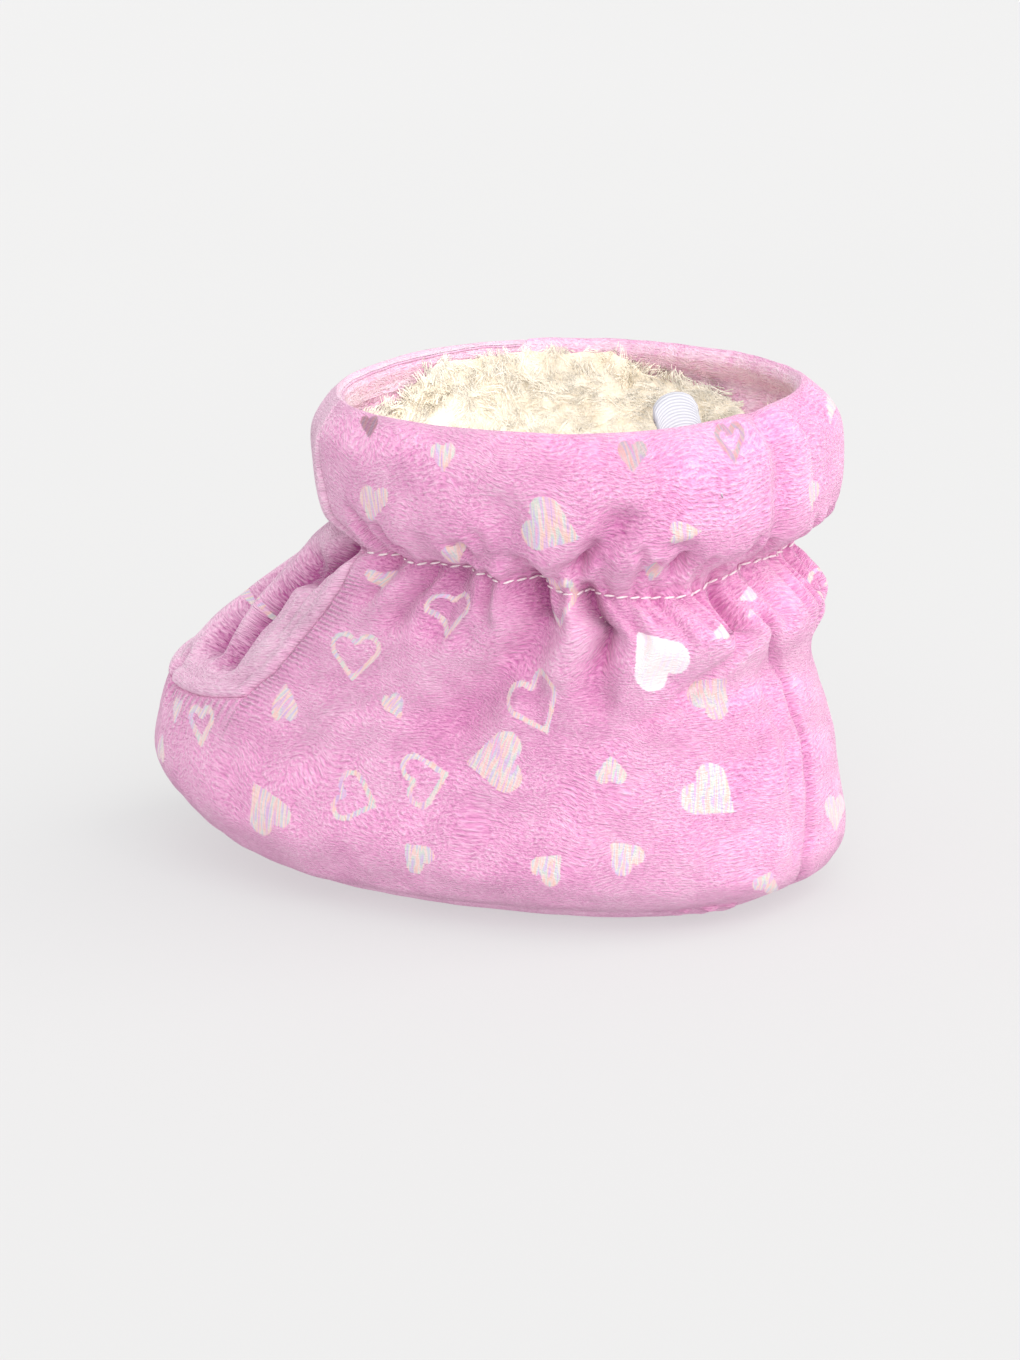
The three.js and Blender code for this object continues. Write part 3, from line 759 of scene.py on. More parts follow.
        # An outline heart keeps a line of foil just inside its edge
        half = self.outline_mm / 2
        middle = add_node(tree, "Math", {"operation": "SUBTRACT", 1: half}, {0: inside})
        away = add_node(tree, "Math", {"operation": "ABSOLUTE"}, {0: middle})
        line = add_node(tree, "Math", {"operation": "SUBTRACT", 0: half}, {1: away})
        reach = add_node(tree, "Mix", {"data_type": "FLOAT"}, {0: ring, 2: inside, 3: line})
        ragged = add_node(tree, "Math", {"operation": "MULTIPLY_ADD", 1: 0.24, 2: -0.14}, {0: pile})
        edge = add_node(tree, "Math", {"operation": "ADD"}, {0: reach, 1: ragged})
        mask = add_node(tree, "MapRange", {1: -0.08, 2: 0.12}, {0: edge})
        # Film pressed on the pile's courses shows upright streaks about 1 mm wide in several pale tints
        chart = add_node(tree, "UVMap", {"uv_map": "cloth"})
        upright = {"Rotation": (0.0, 0.0, 0.06), "Scale": (125.0, 13.0, 1.0)}
        streaks = add_node(tree, "Mapping", upright, {"Vector": chart})
        film = {"Scale": 1.0, "Detail": 2.0, "Distortion": 0.25}
        hue = add_node(tree, "TexNoise", film, {"Vector": streaks})
        pearl = add_node(tree, "ValToRGB", {"stops": PEARL_TINTS}, {0: hue})
        # Painted reflection: a negative tone paints the foil towards blown white glare, a positive one paints
        # it darker.
        white = add_node(tree, "Math", {"operation": "MULTIPLY", 1: -1.0, "use_clamp": True}, {0: tone})
        glare = {"data_type": "RGBA", 7: srgb("#fffbfd")}
        blown = add_node(tree, "Mix", glare, {0: white, 6: pearl}, out=2)
        dark = add_node(tree, "Math", {"operation": "MULTIPLY", 1: 0.8, "use_clamp": True}, {0: tone})
        shade = {"data_type": "RGBA", "blend_type": "MULTIPLY", 7: srgb("#a35d86")}
        deepened = add_node(tree, "Mix", shade, {0: dark, 6: blown}, out=2)
        printed = {0: mask, 6: colour, 7: deepened}
        return {
            "Base Color": add_node(tree, "Mix", {"data_type": "RGBA"}, printed, out=2),
            "Roughness": add_node(tree, "MapRange", {3: 0.85, 4: 0.45}, {0: mask}),
            "Metallic": add_node(tree, "MapRange", {3: 0.0, 4: 0.12}, {0: mask}),
            "Normal": add_node(tree, "Mix", {"data_type": "VECTOR"}, {0: mask, 4: free, 5: pressed}, out=1),
        }


@dataclass(frozen=True)
class Fleece:
    """Sherpa fleece, a knitted polyester with curled tufts: matt, creamy and lumpy."""

    name: str = "sherpa fleece"
    light: str = "#fbf4e7"
    shade: str = "#f2e8d6"

    def material(self) -> bpy.types.Material:
        """Build the fleece's material."""
        return new_material(self.name, self._shader)

    def _shader(self, tree: Tree) -> Socket:
        """Return the fleece's shader."""
        body = add_node(tree, "TexCoord", {}, out="Object")
        lumps = add_node(tree, "TexNoise", {"Scale": 420.0, "Detail": 3.0}, {"Vector": body})
        knit = {"Scale": 2200.0, "Detail": 2.0, "Distortion": 0.6}
        fibres = add_node(tree, "TexNoise", knit, {"Vector": body})
        colour = add_node(tree, "ValToRGB", {"stops": [(0.3, self.shade), (0.62, self.light)]}, {0: lumps})
        bump = add_node(tree, "Bump", {"Strength": 0.6, "Distance": 0.4 * MM}, {"Height": fibres})
        settings = {
            "Roughness": 0.95,
            "Sheen Weight": 0.35,
            "Sheen Roughness": 0.6,
            # Painted light: a faint glow that brightens the fleece in the shaded inside of the boot
            "Emission Color": srgb("#fff3de"),
            "Emission Strength": 0.2,
        }
        return add_node(tree, "BsdfPrincipled", settings, {"Base Color": colour, "Normal": bump})


@dataclass(frozen=True)
class Satin:
    """Polyester satin ribbon, woven and pressed flat: pale, with a soft gloss across fine ribs."""

    name: str = "satin ribbon"
    colour: str = "#cdcdd4"
    shade: str = "#aeadb8"

    def material(self) -> bpy.types.Material:
        """Build the ribbon's material."""
        return new_material(self.name, self._shader)

    def _shader(self, tree: Tree) -> Socket:
        """Return the ribbon's shader."""
        cloth = add_node(tree, "UVMap", {"uv_map": "cloth"})
        # Ribs 0.5 mm apart run across the ribbon
        weave = {"bands_direction": "Y", "Scale": 62.0, "Distortion": 1.2, "Detail": 1.0}
        ribs = add_node(tree, "TexWave", weave, {"Vector": cloth})
        colour = add_node(tree, "ValToRGB", {"stops": [(0.0, self.shade), (0.7, self.colour)]}, {0: ribs})
        bump = add_node(tree, "Bump", {"Strength": 0.5, "Distance": 0.15 * MM}, {"Height": ribs})
        settings = {"Roughness": 0.34, "Sheen Weight": 0.1, "Coat Weight": 0.15}
        return add_node(tree, "BsdfPrincipled", settings, {"Base Color": colour, "Normal": bump})


@dataclass(frozen=True)
class Matt:
    """Flat paint or thread of one tone with a faint mottling."""

    name: str
    colour: str
    shade: str
    roughness: float = 0.8
    scale: float = 900.0
    glow: float = 0.0

    def material(self) -> bpy.types.Material:
        """Build the material."""
        return new_material(self.name, self._shader)

    def _shader(self, tree: Tree) -> Socket:
        """Return the shader."""
        body = add_node(tree, "TexCoord", {}, out="Object")
        mottle = add_node(tree, "TexNoise", {"Scale": self.scale, "Detail": 1.0}, {"Vector": body})
        colour = add_node(tree, "ValToRGB", {"stops": [(0.35, self.shade), (0.65, self.colour)]}, {0: mottle})
        settings = {
            "Roughness": self.roughness,
            "Emission Color": srgb("#ffffff"),
            "Emission Strength": self.glow,
        }
        return add_node(tree, "BsdfPrincipled", settings, {"Base Color": colour})


# Meshes
def to_mesh(name: str, bm: bmesh.types.BMesh) -> bpy.types.Mesh:
    """Return a bmesh as a named mesh, and free it."""
    mesh = bpy.data.meshes.new(name)
    bm.to_mesh(mesh)
    bm.free()
    return mesh


def add_piece(mesh: bpy.types.Mesh, material: bpy.types.Material, node: str) -> bpy.types.Object:
    """Put a mesh into the scene as a smooth piece of the shoe, under the mesh's name.

    Args:
        mesh: The piece's mesh.
        material: Its material.
        node: The model's node that it helps to replace.

    Returns:
        The piece.
    """
    mesh.shade_smooth()
    mesh.materials.append(material)
    piece = bpy.data.objects.new(mesh.name, mesh)
    bpy.context.scene.collection.objects.link(piece)
    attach(piece, "root")
    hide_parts(node)
    return piece


def cloth_grid(name: str, columns: int, rows: int, place: Placer, closed: bool = True) -> bpy.types.Mesh:
    """Make the mesh of a cloth piece from an even grid.

    Args:
        name: The piece's name.
        columns: Cells across.
        rows: Cells up.
        place: Gives the points in millimetres, the cloth's own coordinates in millimetres and its named
            values, from the shares across and up.
        closed: Whether the last column meets the first.

    Returns:
        The mesh.
    """
    bm = bmesh.new()
    bmesh.ops.create_grid(bm, x_segments=columns, y_segments=rows, size=1.0)
    mesh = to_mesh(name, bm)
    flat = np.empty(len(mesh.vertices) * 3)
    mesh.vertices.foreach_get("co", flat)
    grid = flat.reshape(-1, 3)[:, :2]
    share = (grid - grid.min(0)) / (grid.max(0) - grid.min(0))
    points, cloth, values = place(share[:, 0], share[:, 1])
    mesh.vertices.foreach_set("co", (points * MM).ravel())
    corners = np.empty(len(mesh.loops), int)
    mesh.loops.foreach_get("vertex_index", corners)
    layer = mesh.uv_layers.new(name="cloth")
    layer.data.foreach_set("uv", (cloth[corners] / CHART_MM).ravel())
    for key, value in values.items():
        mesh.attributes.new(key, "FLOAT", "POINT").data.foreach_set("value", value)
    if closed:
        bm = bmesh.new()
        bm.from_mesh(mesh)
        bmesh.ops.remove_doubles(bm, verts=bm.verts, dist=1e-6)
        bm.to_mesh(mesh)
        bm.free()
    return mesh


@dataclass
class ElasticSeam:
    """The elastic that gathers the ankle: where it runs, how deep it sinks and its machine stitches."""

    last: Last
    material: bpy.types.Material
    pitch: float = 2.15
    stitch: float = 1.65
    thread: float = 0.34
    sink: float = 1.1
    reach: float = 0.013
    ends: tuple[float, float] = (62.5, 297.5)
    steps: int = 1600
    angles: tuple[float, ...] = (0, 60, 72, 88, 103, 115, 126, 155, 167, 182, 200, 360)
    drops: tuple[float, ...] = (0, 0.006, 0.006, 0.002, 0.002, 0.011, 0.009, 0.012, 0.001, -0.005, 0.002, 0)

    def level_at(self, angle: Array) -> Array:
        """Return the seam's level at each angle, which wanders a little up and down."""
        turn = np.degrees(np.mod(angle, 2 * math.pi))
        return ELASTIC - np.interp(turn, self.angles, self.drops)

    def groove(self, angle: Array, level: Array) -> Array:
        """Return how deep the seam pulls the cloth in."""
        return self.sink * np.exp(-(((level - self.level_at(angle)) / self.reach) ** 2))

    def build(self, folds: tuple[Fold, ...]) -> bpy.types.Object:
        """Build the stitches, each a short length of thread that dives into the pile at both ends.

        Args:
            folds: The folds that the cloth follows.

        Returns:
            The stitches as one piece.
        """
        angles = np.radians(np.linspace(*self.ends, self.steps))
        level = self.level_at(angles)
        line = self.last.surface(angles, level, self.groove(angles, level), folds)
        run = np.concatenate([[0.0], np.cumsum(np.linalg.norm(np.diff(line.points, axis=0), axis=1))])
        bm = bmesh.new()
        for k in range(int(run[-1] / self.pitch)):
            at = np.interp(k * self.pitch + self.stitch / 2, run, np.arange(len(run)))
            first, last = (np.searchsorted(run, k * self.pitch + end) for end in (0.0, self.stitch))
            last = min(last, len(run) - 1)
            middle = Vector((line.points[first] + line.points[last]) / 2)
            along = Vector(line.points[last] - line.points[first]).normalized()
            out = Vector(line.normal[int(at)])
            out = (out - along * out.dot(along)).normalized()
            side = out.cross(along)
            slant = (along + side * (0.14 + 0.05 * math.sin(k * 2.3))).normalized()
            side = out.cross(slant)
            size = Vector((self.stitch * 0.56, self.thread * 0.55, self.thread * 0.6))
            basis = Matrix((slant * size.x, side * size.y, out * size.z)).transposed().to_4x4()
            place = Matrix.Translation((middle + out * 0.32) * MM) @ Matrix.Scale(MM, 4) @ basis
            bmesh.ops.create_icosphere(bm, subdivisions=2, radius=1.0, matrix=place)
        return add_piece(to_mesh("elastic_stitches", bm), self.material, "upper")


def small_pleats(seed: int) -> tuple[Fold, ...]:
    """Return the small pleats that the elastic draws above and below itself.

    Args:
        seed: Seed of their places.

    Returns:
        Narrow folds, stronger on the side away from the camera, where no others are charted.
    """
    rng = random.Random(seed)
    pleats = []
    angle = 64.0
    while angle < 296.0:
        angle += rng.uniform(4.5, 8.5)
        power = 0.95 if angle < 190 else 1.1
        lean = rng.uniform(-4.0, 4.0)
        below = rng.uniform(0.05, 0.13)
        above = rng.uniform(0.04, 0.1)
        half = rng.uniform(1.5, 2.8)
        sink = power * rng.uniform(0.7, 1.5)
        pleats.append(Fold("pleat_below", angle, 0.664, angle + lean, 0.664 - below, half, sink, 1.3))
        start = angle + rng.uniform(-2, 2)
        sink = power * rng.uniform(0.5, 1.3)
        pleats.append(Fold("pleat_above", start, 0.672, angle - lean, 0.672 + above, half * 1.2, sink, 1.3))
    return tuple(pleats)


@dataclass
class VelourShell:
    """The velour of the upper: the foot below the elastic, and the cuff that turns over the rim."""

    last: Last
    seam: ApronSeam
    elastic: ElasticSeam
    hearts: HeartPrint
    material: bpy.types.Material
    folds: tuple[Fold, ...]
    under_apron: float = 1.7
    lump: float = 0.3
    girth: float = 330.0
    roll_drop: float = 3.2
    roll_reach: float = 2.5
    foot_run: float = 92.0
    under_run: float = 3.0
    lap_angle: float = 184.0
    lap_drop: float = 1.1
    ruffle: float = 2.4
    nap_lie: Array = field(default_factory=lambda: np.array([[1, 0, 0], [0, 1, 0], [0.7, 0.3, 0.22]]))
    # The seam down the heel, from places seen in the photograph and carried over through its camera
    seam_levels: tuple[float, ...] = (0.07, 0.165, 0.255, 0.33, 0.395, 0.47, 0.56)
    seam_angles: tuple[float, ...] = (179.0, 179.0, 181.0, 181.0, 181.0, 182.0, 175.0)
    seam_half: float = 1.0

    def _finish(self, surface: Surface, depth: Array) -> tuple[Array, dict[str, Array]]:
        """Return the surface's points and named values with the seams and small lumps of the cloth.

        Args:
            surface: The cloth's surface.
            depth: Its depth under the skin.

        Returns:
            The points in millimetres, and the named values.
        """
        outside = self.seam.outside(surface.angle, surface.level, surface.around, surface.upward)
        lumps = soft_noise(surface.form, 9.0, 3.1) + soft_noise(surface.form, 4.0, 8.7) / 2
        turned = smooth_step(depth, 0.2, 1.6)
        dip = self.under_apron * smooth_step(-outside, -0.2, 1.6) * (1 - turned)
        groove = self.elastic.groove(surface.angle, surface.level) * (1 - turned)
        step = self._back_step(surface) * (1 - turned)
        values = self.hearts.values(self.last, surface.form)
        values["foil"] = np.where(turned > 0.5, NO_FOIL, values["foil"])
        # Painted shade and light in the hollow value: shade in the folds, the elastic's groove, the lap
        # behind the near panel and the seam down the heel, and light on the facing inside the rim in streaks
        # along the nap.
        seam_shade = 2.6 * self._back_seam(surface) * (1 - turned)
        streaks = soft_noise(surface.form @ self.nap_lie, 1.6, 60.0)
        values["hollow"] = surface.hollow + groove * 1.2 + step + seam_shade - (6.0 + 4.5 * streaks) * turned
        values["seam_run"] = self.seam.run(surface)
        beside = np.clip(outside, 0.0, None)
        wave = 0.6 + 0.4 * soft_noise(surface.form, 6.0, 14.2)
        values["pucker"] = 0.9 * wave * smooth_step(beside, 0.0, 0.8) * np.exp(-beside / 3.2)
        values["pucker"] = values["pucker"] * (1 - smooth_step(surface.level, 0.56, 0.64))
        lift = self.lump * lumps - dip - groove - step
        return surface.points + surface.normal * lift[:, None], values

    def _back_step(self, surface: Surface) -> Array:
        """Return the drop behind the near panel, which laps over the far one at the back of the cuff."""
        run = (np.degrees(surface.angle) - self.lap_angle) * self.hearts.mm_per_degree
        drop = smooth_step(run, 0.0, 0.9) * (1 - smooth_step(run, 5.0, 16.0))
        rise = smooth_step(surface.level, 0.74, 0.79) * (1 - smooth_step(surface.level, 0.97, 1.0))
        return self.lap_drop * drop * rise + self._back_seam(surface)

    def _back_seam(self, surface: Surface) -> Array:
        """Return how near each place is to the seam down the heel, from 0 to 1."""
        line = np.interp(surface.level, self.seam_levels, self.seam_angles)
        line = line + soft_noise(surface.form, 7.0, 40.0) * 0.5
        low = smooth_step(surface.level, 0.01, 0.06) * (1 - smooth_step(surface.level, 0.6, 0.65))
        return np.exp(-(((np.degrees(surface.angle) - line) / self.seam_half) ** 2)) * low

    def _ruffle(self, surface: Surface, under: Array) -> Array:
        """Return how far the sole seam's turned edge stands out at the near side of the heel."""
        turn = np.degrees(surface.angle)
        window = smooth_step(turn, 143.0, 148.0) * (1 - smooth_step(turn, 160.0, 166.0))
        wave = 0.6 + 0.35 * np.sin(turn * 1.1) + 0.4 * soft_noise(surface.form, 2.0, 50.0)
        edge = (1 - smooth_step(surface.level, 0.01, 0.035)) * (1 - smooth_step(under, 0.1, 0.5))
        return self.ruffle * window * wave * edge

    def build_foot(self) -> bpy.types.Object:
        """Build the foot of the upper, from under its edge to the elastic."""
        turn_under = 0.05

        def place(across: Array, up: Array) -> tuple[Array, Array, dict[str, Array]]:
            """Lay the foot's grid over the last."""
            angle = self.last.even_angles(across, 0.3)
            top = self.elastic.level_at(angle)
            level = np.clip((up - turn_under) / (1 - turn_under), 0.0, 1.0) * top
            zero = np.zeros_like(angle)
            surface = self.last.surface(angle, level, zero, self.folds)
            points, values = self._finish(surface, zero)
            under = np.clip((turn_under - up) / turn_under, 0.0, 1.0)
            down = -unit(surface.upward)
            slope = down * (self.roll_drop / np.maximum(-down[:, 2], 0.5))[:, None]
            inwards = -surface.normal * self.roll_reach
            points = points + slope * (2 * under - under**2)[:, None] + inwards * (under**2)[:, None]
            points = points + surface.normal * self._ruffle(surface, under)[:, None]
            chart = np.stack([across * self.girth, up * self.foot_run - under * self.under_run], -1)
            return points, chart, values

        return add_piece(cloth_grid("velour_foot", 600, 150, place), self.material, "upper")

    def build_cuff(self) -> bpy.types.Object:
        """Build the cuff: from the elastic over the rim and down inside as its facing."""
        # Shares of the way to the rim, depths and stations: up outside, over the rim and down inside
        levels = (0.0, 0.25, 0.49, 0.7, 0.85, 0.955, 1.0, 1.0, 0.97, 0.9, 0.76, 0.58, 0.4)
        depths = (0.0, 0.0, 0.0, 0.0, 0.0, 0.0, 0.4, 1.6, 2.7, 3.3, 3.5, 3.5, 3.4)
        stops = (0.0, 0.16, 0.32, 0.45, 0.55, 0.62, 0.66, 0.7, 0.74, 0.79, 0.86, 0.93, 1.0)

        def place(across: Array, up: Array) -> tuple[Array, Array, dict[str, Array]]:
            """Lay the cuff's grid over the last."""
            angle = self.last.even_angles(across, 0.9)
            foot = self.elastic.level_at(angle)
            level = foot + (1 - foot) * np.interp(up, stops, levels)
            depth = np.interp(up, stops, depths)
            surface = self.last.surface(angle, level, depth, self.folds)
            points, values = self._finish(surface, depth)
            return points, np.stack([across * self.girth * 0.76 + 13.0, up * 46.0 + 100.0], -1), values

        return add_piece(cloth_grid("velour_cuff", 540, 110, place), self.material, "upper")


@dataclass
class ApronPanel:
    """The apron: the panel from the toe seam to the rim, with a rolled edge along its seams."""

    last: Last
    seam: ApronSeam
    elastic: ElasticSeam
    hearts: HeartPrint
    material: bpy.types.Material
    folds: tuple[Fold, ...]
    roll: float = 0.85
    roll_width: float = 3.6

    def build(self) -> bpy.types.Object:
        """Build the apron, which turns over the rim with the cuff."""
        stops = (0.0, 0.885, 0.92, 0.95, 0.975, 1.0)
        shares = (0.0, 0.965, 1.0, 1.0, 0.97, 0.93)
        depths = (0.0, 0.0, 0.4, 1.6, 3.0, 3.8)

        def place(across: Array, up: Array) -> tuple[Array, Array, dict[str, Array]]:
            """Lay the apron's grid over the last."""
            side = across * 2 - 1
            toe = self.seam.toe_at(side)
            level = toe + (1.0 - toe) * np.interp(up, stops, shares)
            depth = np.interp(up, stops, depths)
            angle = side * self.seam.half_angle(level)
            surface = self.last.surface(angle, level, depth, self.folds)
            edge = -self.seam.outside(angle, level, surface.around, surface.upward)
            tucked = smooth_step(depth, 0.1, 1.5)
            ridge = np.sin(np.clip(edge / self.roll_width, 0, 1) * math.pi) ** 0.7
            proud = self.roll * ridge * (1 - smooth_step(level, 0.8, 0.95)) * (1 - tucked)
            turned = 2.0 * (1 - smooth_step(edge, 0.0, 0.7)) * (1 - tucked)
            turned = turned * (1 - 0.6 * smooth_step(level, 0.7, 0.9))
            groove = self.elastic.groove(angle, level) * 0.7
            lumps = soft_noise(surface.form, 8.0, 21.3) * 0.3
            points = surface.points + surface.normal * (proud - turned - groove + lumps)[:, None]
            values = self.hearts.values(self.last, surface.form)
            # Painted shade and light in the hollow value: stronger shade in the folds, shade on the edge
            # turned under at the seam and in the elastic's groove, and light on the part turned inside the
            # rim.
            values["hollow"] = surface.hollow * 2.3 + turned * 0.8 + groove - 4.5 * tucked
            values["seam_run"] = np.zeros_like(angle)
            values["pucker"] = np.zeros_like(angle)
            return points, np.stack([across * 78.0, up * 96.0], -1), values

        mesh = cloth_grid("apron_panel", 210, 230, place, closed=False)
        return add_piece(mesh, self.material, "apron")


@dataclass(frozen=True)
class Pad:
    """One pad: how far it reaches past the upper's foot, its height over the sole's curve and its shape."""

    name: str
    node: str
    slot: str
    margin: float
    bottom: float
    tuck: float
    tuft: float
    fill: float
    thickness: float = 3.0


SOLE = Pad("soft_sole", "sole", "sole_velour", margin=-4.7, bottom=0.0, tuck=4.0, tuft=0.0, fill=0.7)
INSOLE = Pad("fleece_insole", "insole", "fleece", margin=-3.5, bottom=3.3, tuck=1.0, tuft=0.6, fill=0.5)


@dataclass
class SoftPads:
    """The padded velour sole under the foot and the fleece insole inside it."""

    last: Last
    sole_material: bpy.types.Material
    insole_material: bpy.types.Material

    def _pad(self, pad: Pad, material: bpy.types.Material) -> bpy.types.Object:
        """Build one pad on the outline of the foot.

        Args:
            pad: What it is; its underside curves in by its tuck, and its upper side has tufts.
            material: Its material.

        Returns:
            The pad.
        """
        tuck = pad.tuck
        inset = (0.0, 0.0, -tuck, -tuck * 0.6, -tuck * 0.3, -tuck * 0.08, 0.0, -0.3, -1.0, -1.0, 0.0, 0.0)
        scale = (0.0, 0.5, 1.0, 1.0, 1.0, 1.0, 1.0, 1.0, 1.0, 0.9, 0.5, 0.0)
        rise = (0.0, 0.0, 0.0, 0.08, 0.24, 0.5, 0.7, 0.9, 1.0, 1.03, 1.06, 1.06)
        stops = np.linspace(0.0, 1.0, len(rise))

        def place(across: Array, up: Array) -> tuple[Array, Array, dict[str, Array]]:
            """Lay the pad's grid from its middle below to its middle above."""
            angle = self.last.even_angles(across, 0.02)
            zero = np.zeros_like(angle)
            normal = self.last.form_frame(angle, zero)[0]
            edge = self.last.form_point(angle, zero)
            edge = edge + normal * (pad.margin + np.interp(up, stops, inset))[:, None]
            centre = self.last.rows[0][2]
            share = np.interp(up, stops, scale)
            x = centre + (edge[:, 0] - centre) * share
            y = edge[:, 1] * share
            z = pad.bottom + pad.thickness * np.interp(up, stops, rise) + self.last.sole_rise(x)
            points = np.stack([x + self.last.shift, y + self.last.shift, z], -1)
            lumps = soft_noise(points, 7.0, 2.2) * 0.12 + 0.12
            tufts = pad.tuft * (soft_noise(points, 3.4, 6.0) + soft_noise(points, 1.7, 7.0) / 2)
            points[:, 2] += np.where(up > 0.62, lumps + tufts, 0.0)
            values = {"hollow": zero, "foil": zero + NO_FOIL, "seam_run": zero, "pucker": zero}
            return points, points[:, :2] + 200.0, values

        piece = add_piece(cloth_grid(pad.name, 200, 60, place), material, pad.node)
        return piece

    def build(self) -> list[bpy.types.Object]:
        """Build the sole and the insole."""
        return [self._pad(SOLE, self.sole_material), self._pad(INSOLE, self.insole_material)]


@dataclass
class SherpaLining:
    """The fleece lining inside the upper: its lumpy ground and the curled locks that stand on it."""

    last: Last
    material: bpy.types.Material
    folds: tuple[Fold, ...]
    depth: float = 4.1
    strands: int = 10
    lock_mm: tuple[float, float] = (2.6, 4.2)
    rim_drop: float = 0.6
    rim_trim: float = 0.55
    angles: tuple[float, ...] = (0, 30, 62, 80, 130, 165, 195, 250, 268, 285, 340, 360)
    edges: tuple[float, ...] = (0.88, 0.85, 0.88, 0.93, 0.93, 0.87, 0.84, 0.85, 0.91, 0.995, 0.995, 0.9)

    def edge_at(self, angle: Array) -> Array:
        """Return the level where the fleece ends under the facing of the cuff."""
        turn = np.degrees(np.mod(angle, 2 * math.pi))
        return np.interp(turn, self.angles, self.edges)

    def depth_at(self, level: Array) -> Array:
        """Return how deep the fleece lies under the skin: deeper by the elastic's folds, less at the rim."""
        deeper = 2.4 * (1 - smooth_step(level, 0.7, 0.84))
        return self.depth + deeper - 1.6 * smooth_step(level, 0.93, 1.0)

    def build_ground(self) -> bpy.types.Object:
        """Build the lining's ground."""

        def place(across: Array, up: Array) -> tuple[Array, Array, dict[str, Array]]:
            """Lay the lining's grid inside the last."""
            angle = self.last.even_angles(1 - across, 0.6)
            # The ground starts at the feather, and lies a little deeper than the locks' roots
            foot = 0.005
            level = foot + up * (self.edge_at(angle) - foot)
            depth = self.depth_at(level) + 0.7
            surface = self.last.surface(angle, level, depth, self.folds)
            lumps = soft_noise(surface.form, 3.2, 5.5) * 0.8 + soft_noise(surface.form, 1.6, 9.9) * 0.5
            points = surface.points + surface.normal * lumps[:, None]
            return points, np.stack([across * 300, up * 100], -1), {"hollow": np.zeros_like(angle)}

        return add_piece(cloth_grid("sherpa_ground", 240, 80, place), self.material, "upper")

    def _lock(self, rng: random.Random) -> bpy.types.Mesh:
        """Return one lock of fleece, fine strands that curl together, in units of its own length."""
        bm = bmesh.new()
        swirl = rng.uniform(1.2, 3.0) * rng.choice((-1, 1))
        lean = rng.uniform(0.1, 0.5)
        for _ in range(self.strands):
            made = bmesh.ops.create_grid(bm, x_segments=1, y_segments=4, size=0.5)
            root = Vector((rng.gauss(0, 0.2), rng.gauss(0, 0.2), 0.0))
            phase = rng.uniform(-0.5, 0.5)
            reach = rng.uniform(0.7, 1.1)
            for vert in made["verts"]:
                share = vert.co.y + 0.5
                turn = phase + swirl * share
                width = vert.co.x * 0.062 * (1.0 - 0.65 * share)
                radius = 0.04 + 0.22 * share
                out = Vector((math.cos(turn), math.sin(turn), 0.0))
                rise = reach * share * (1.0 - 0.22 * share)
                vert.co = root * (1.0 - 0.5 * share) + out * radius + Vector((width, 0.0, 0.0))
                vert.co += Vector((lean * share * share, 0.0, rise))
        return to_mesh("lock", bm)

    def build_locks(self, name: str, count: int, low: float, high: float, seed: int) -> bpy.types.Object:
        """Scatter curled locks over the ground.

        A strand is a flat strip that lies flat side out. It takes its shading from the wall that it stands
        on, as a round fibre in a dense pile would.

        Args:
            name: The piece's name.
            count: How many locks there are.
            low: Lowest share of the way from the insole to the lining's edge.
            high: Highest share of it.
            seed: Seed of their places and turns.

        Returns:
            The locks as one piece.
        """
        rng = random.Random(seed)
        shapes = [self._lock(rng) for _ in range(8)]
        angle = self.last.even_angles(np.array([rng.random() for _ in range(count)]), 0.8)
        share = np.array([low + (high - low) * rng.random() for _ in range(count)])
        level = 0.05 + share * (self.edge_at(angle) - 0.05)
        depth = self.depth_at(level)
        ground = self.last.surface(angle, level, depth, self.folds)
        near_rim = smooth_step(level, 0.95, 1.0)
        ground.points[:, 2] -= self.rim_drop * near_rim
        # Locks lean together in swirls some 6 mm wide
        swirls = soft_noise(ground.form, 6.0, 33.0) * 3.2
        bm = bmesh.new()
        upright = Vector((0.0, 0.0, 1.0))
        shading = []
        fronts = []
        for k in range(count):
            inwards = Vector((-ground.normal[k][0], -ground.normal[k][1], 0.0)).normalized()
            around = Vector(ground.around[k]).normalized()
            lie = upright * math.cos(swirls[k]) + around * math.sin(swirls[k])
            sway = around * rng.uniform(-0.3, 0.3)
            grow = (inwards * 0.62 + lie * 0.65 + upright * 0.3 + sway).normalized()
            front = inwards + upright * 0.6
            front = (front - grow * grow.dot(front)).normalized()
            turn = Matrix((front.cross(grow), front, grow)).transposed().to_4x4()
            spin = Matrix.Rotation(rng.uniform(-0.6, 0.6), 4, "Z")
            size = rng.uniform(*self.lock_mm) * (1.0 - self.rim_trim * near_rim[k]) * MM
            stretch = Matrix.Diagonal((size, size, size, 1.0))
            shape = shapes[k % len(shapes)].copy()
            shape.transform(Matrix.Translation(Vector(ground.points[k]) * MM) @ turn @ spin @ stretch)
            facing = (inwards + lie * rng.uniform(0.0, 0.3) + upright * 0.7).normalized()
            shading.extend([facing] * len(shape.vertices))
            fronts.extend([front] * len(shape.vertices))
            bm.from_mesh(shape)
            bpy.data.meshes.remove(shape)
        for shape in shapes:
            bpy.data.meshes.remove(shape)
        bm.verts.index_update()
        bm.normal_update()
        away = [face for face in bm.faces if face.normal.dot(fronts[face.verts[0].index]) < 0]
        bmesh.ops.reverse_faces(bm, faces=away)
        piece = add_piece(to_mesh(name, bm), self.material, "upper")
        piece.data.normals_split_custom_set_from_vertices(shading)
        return piece

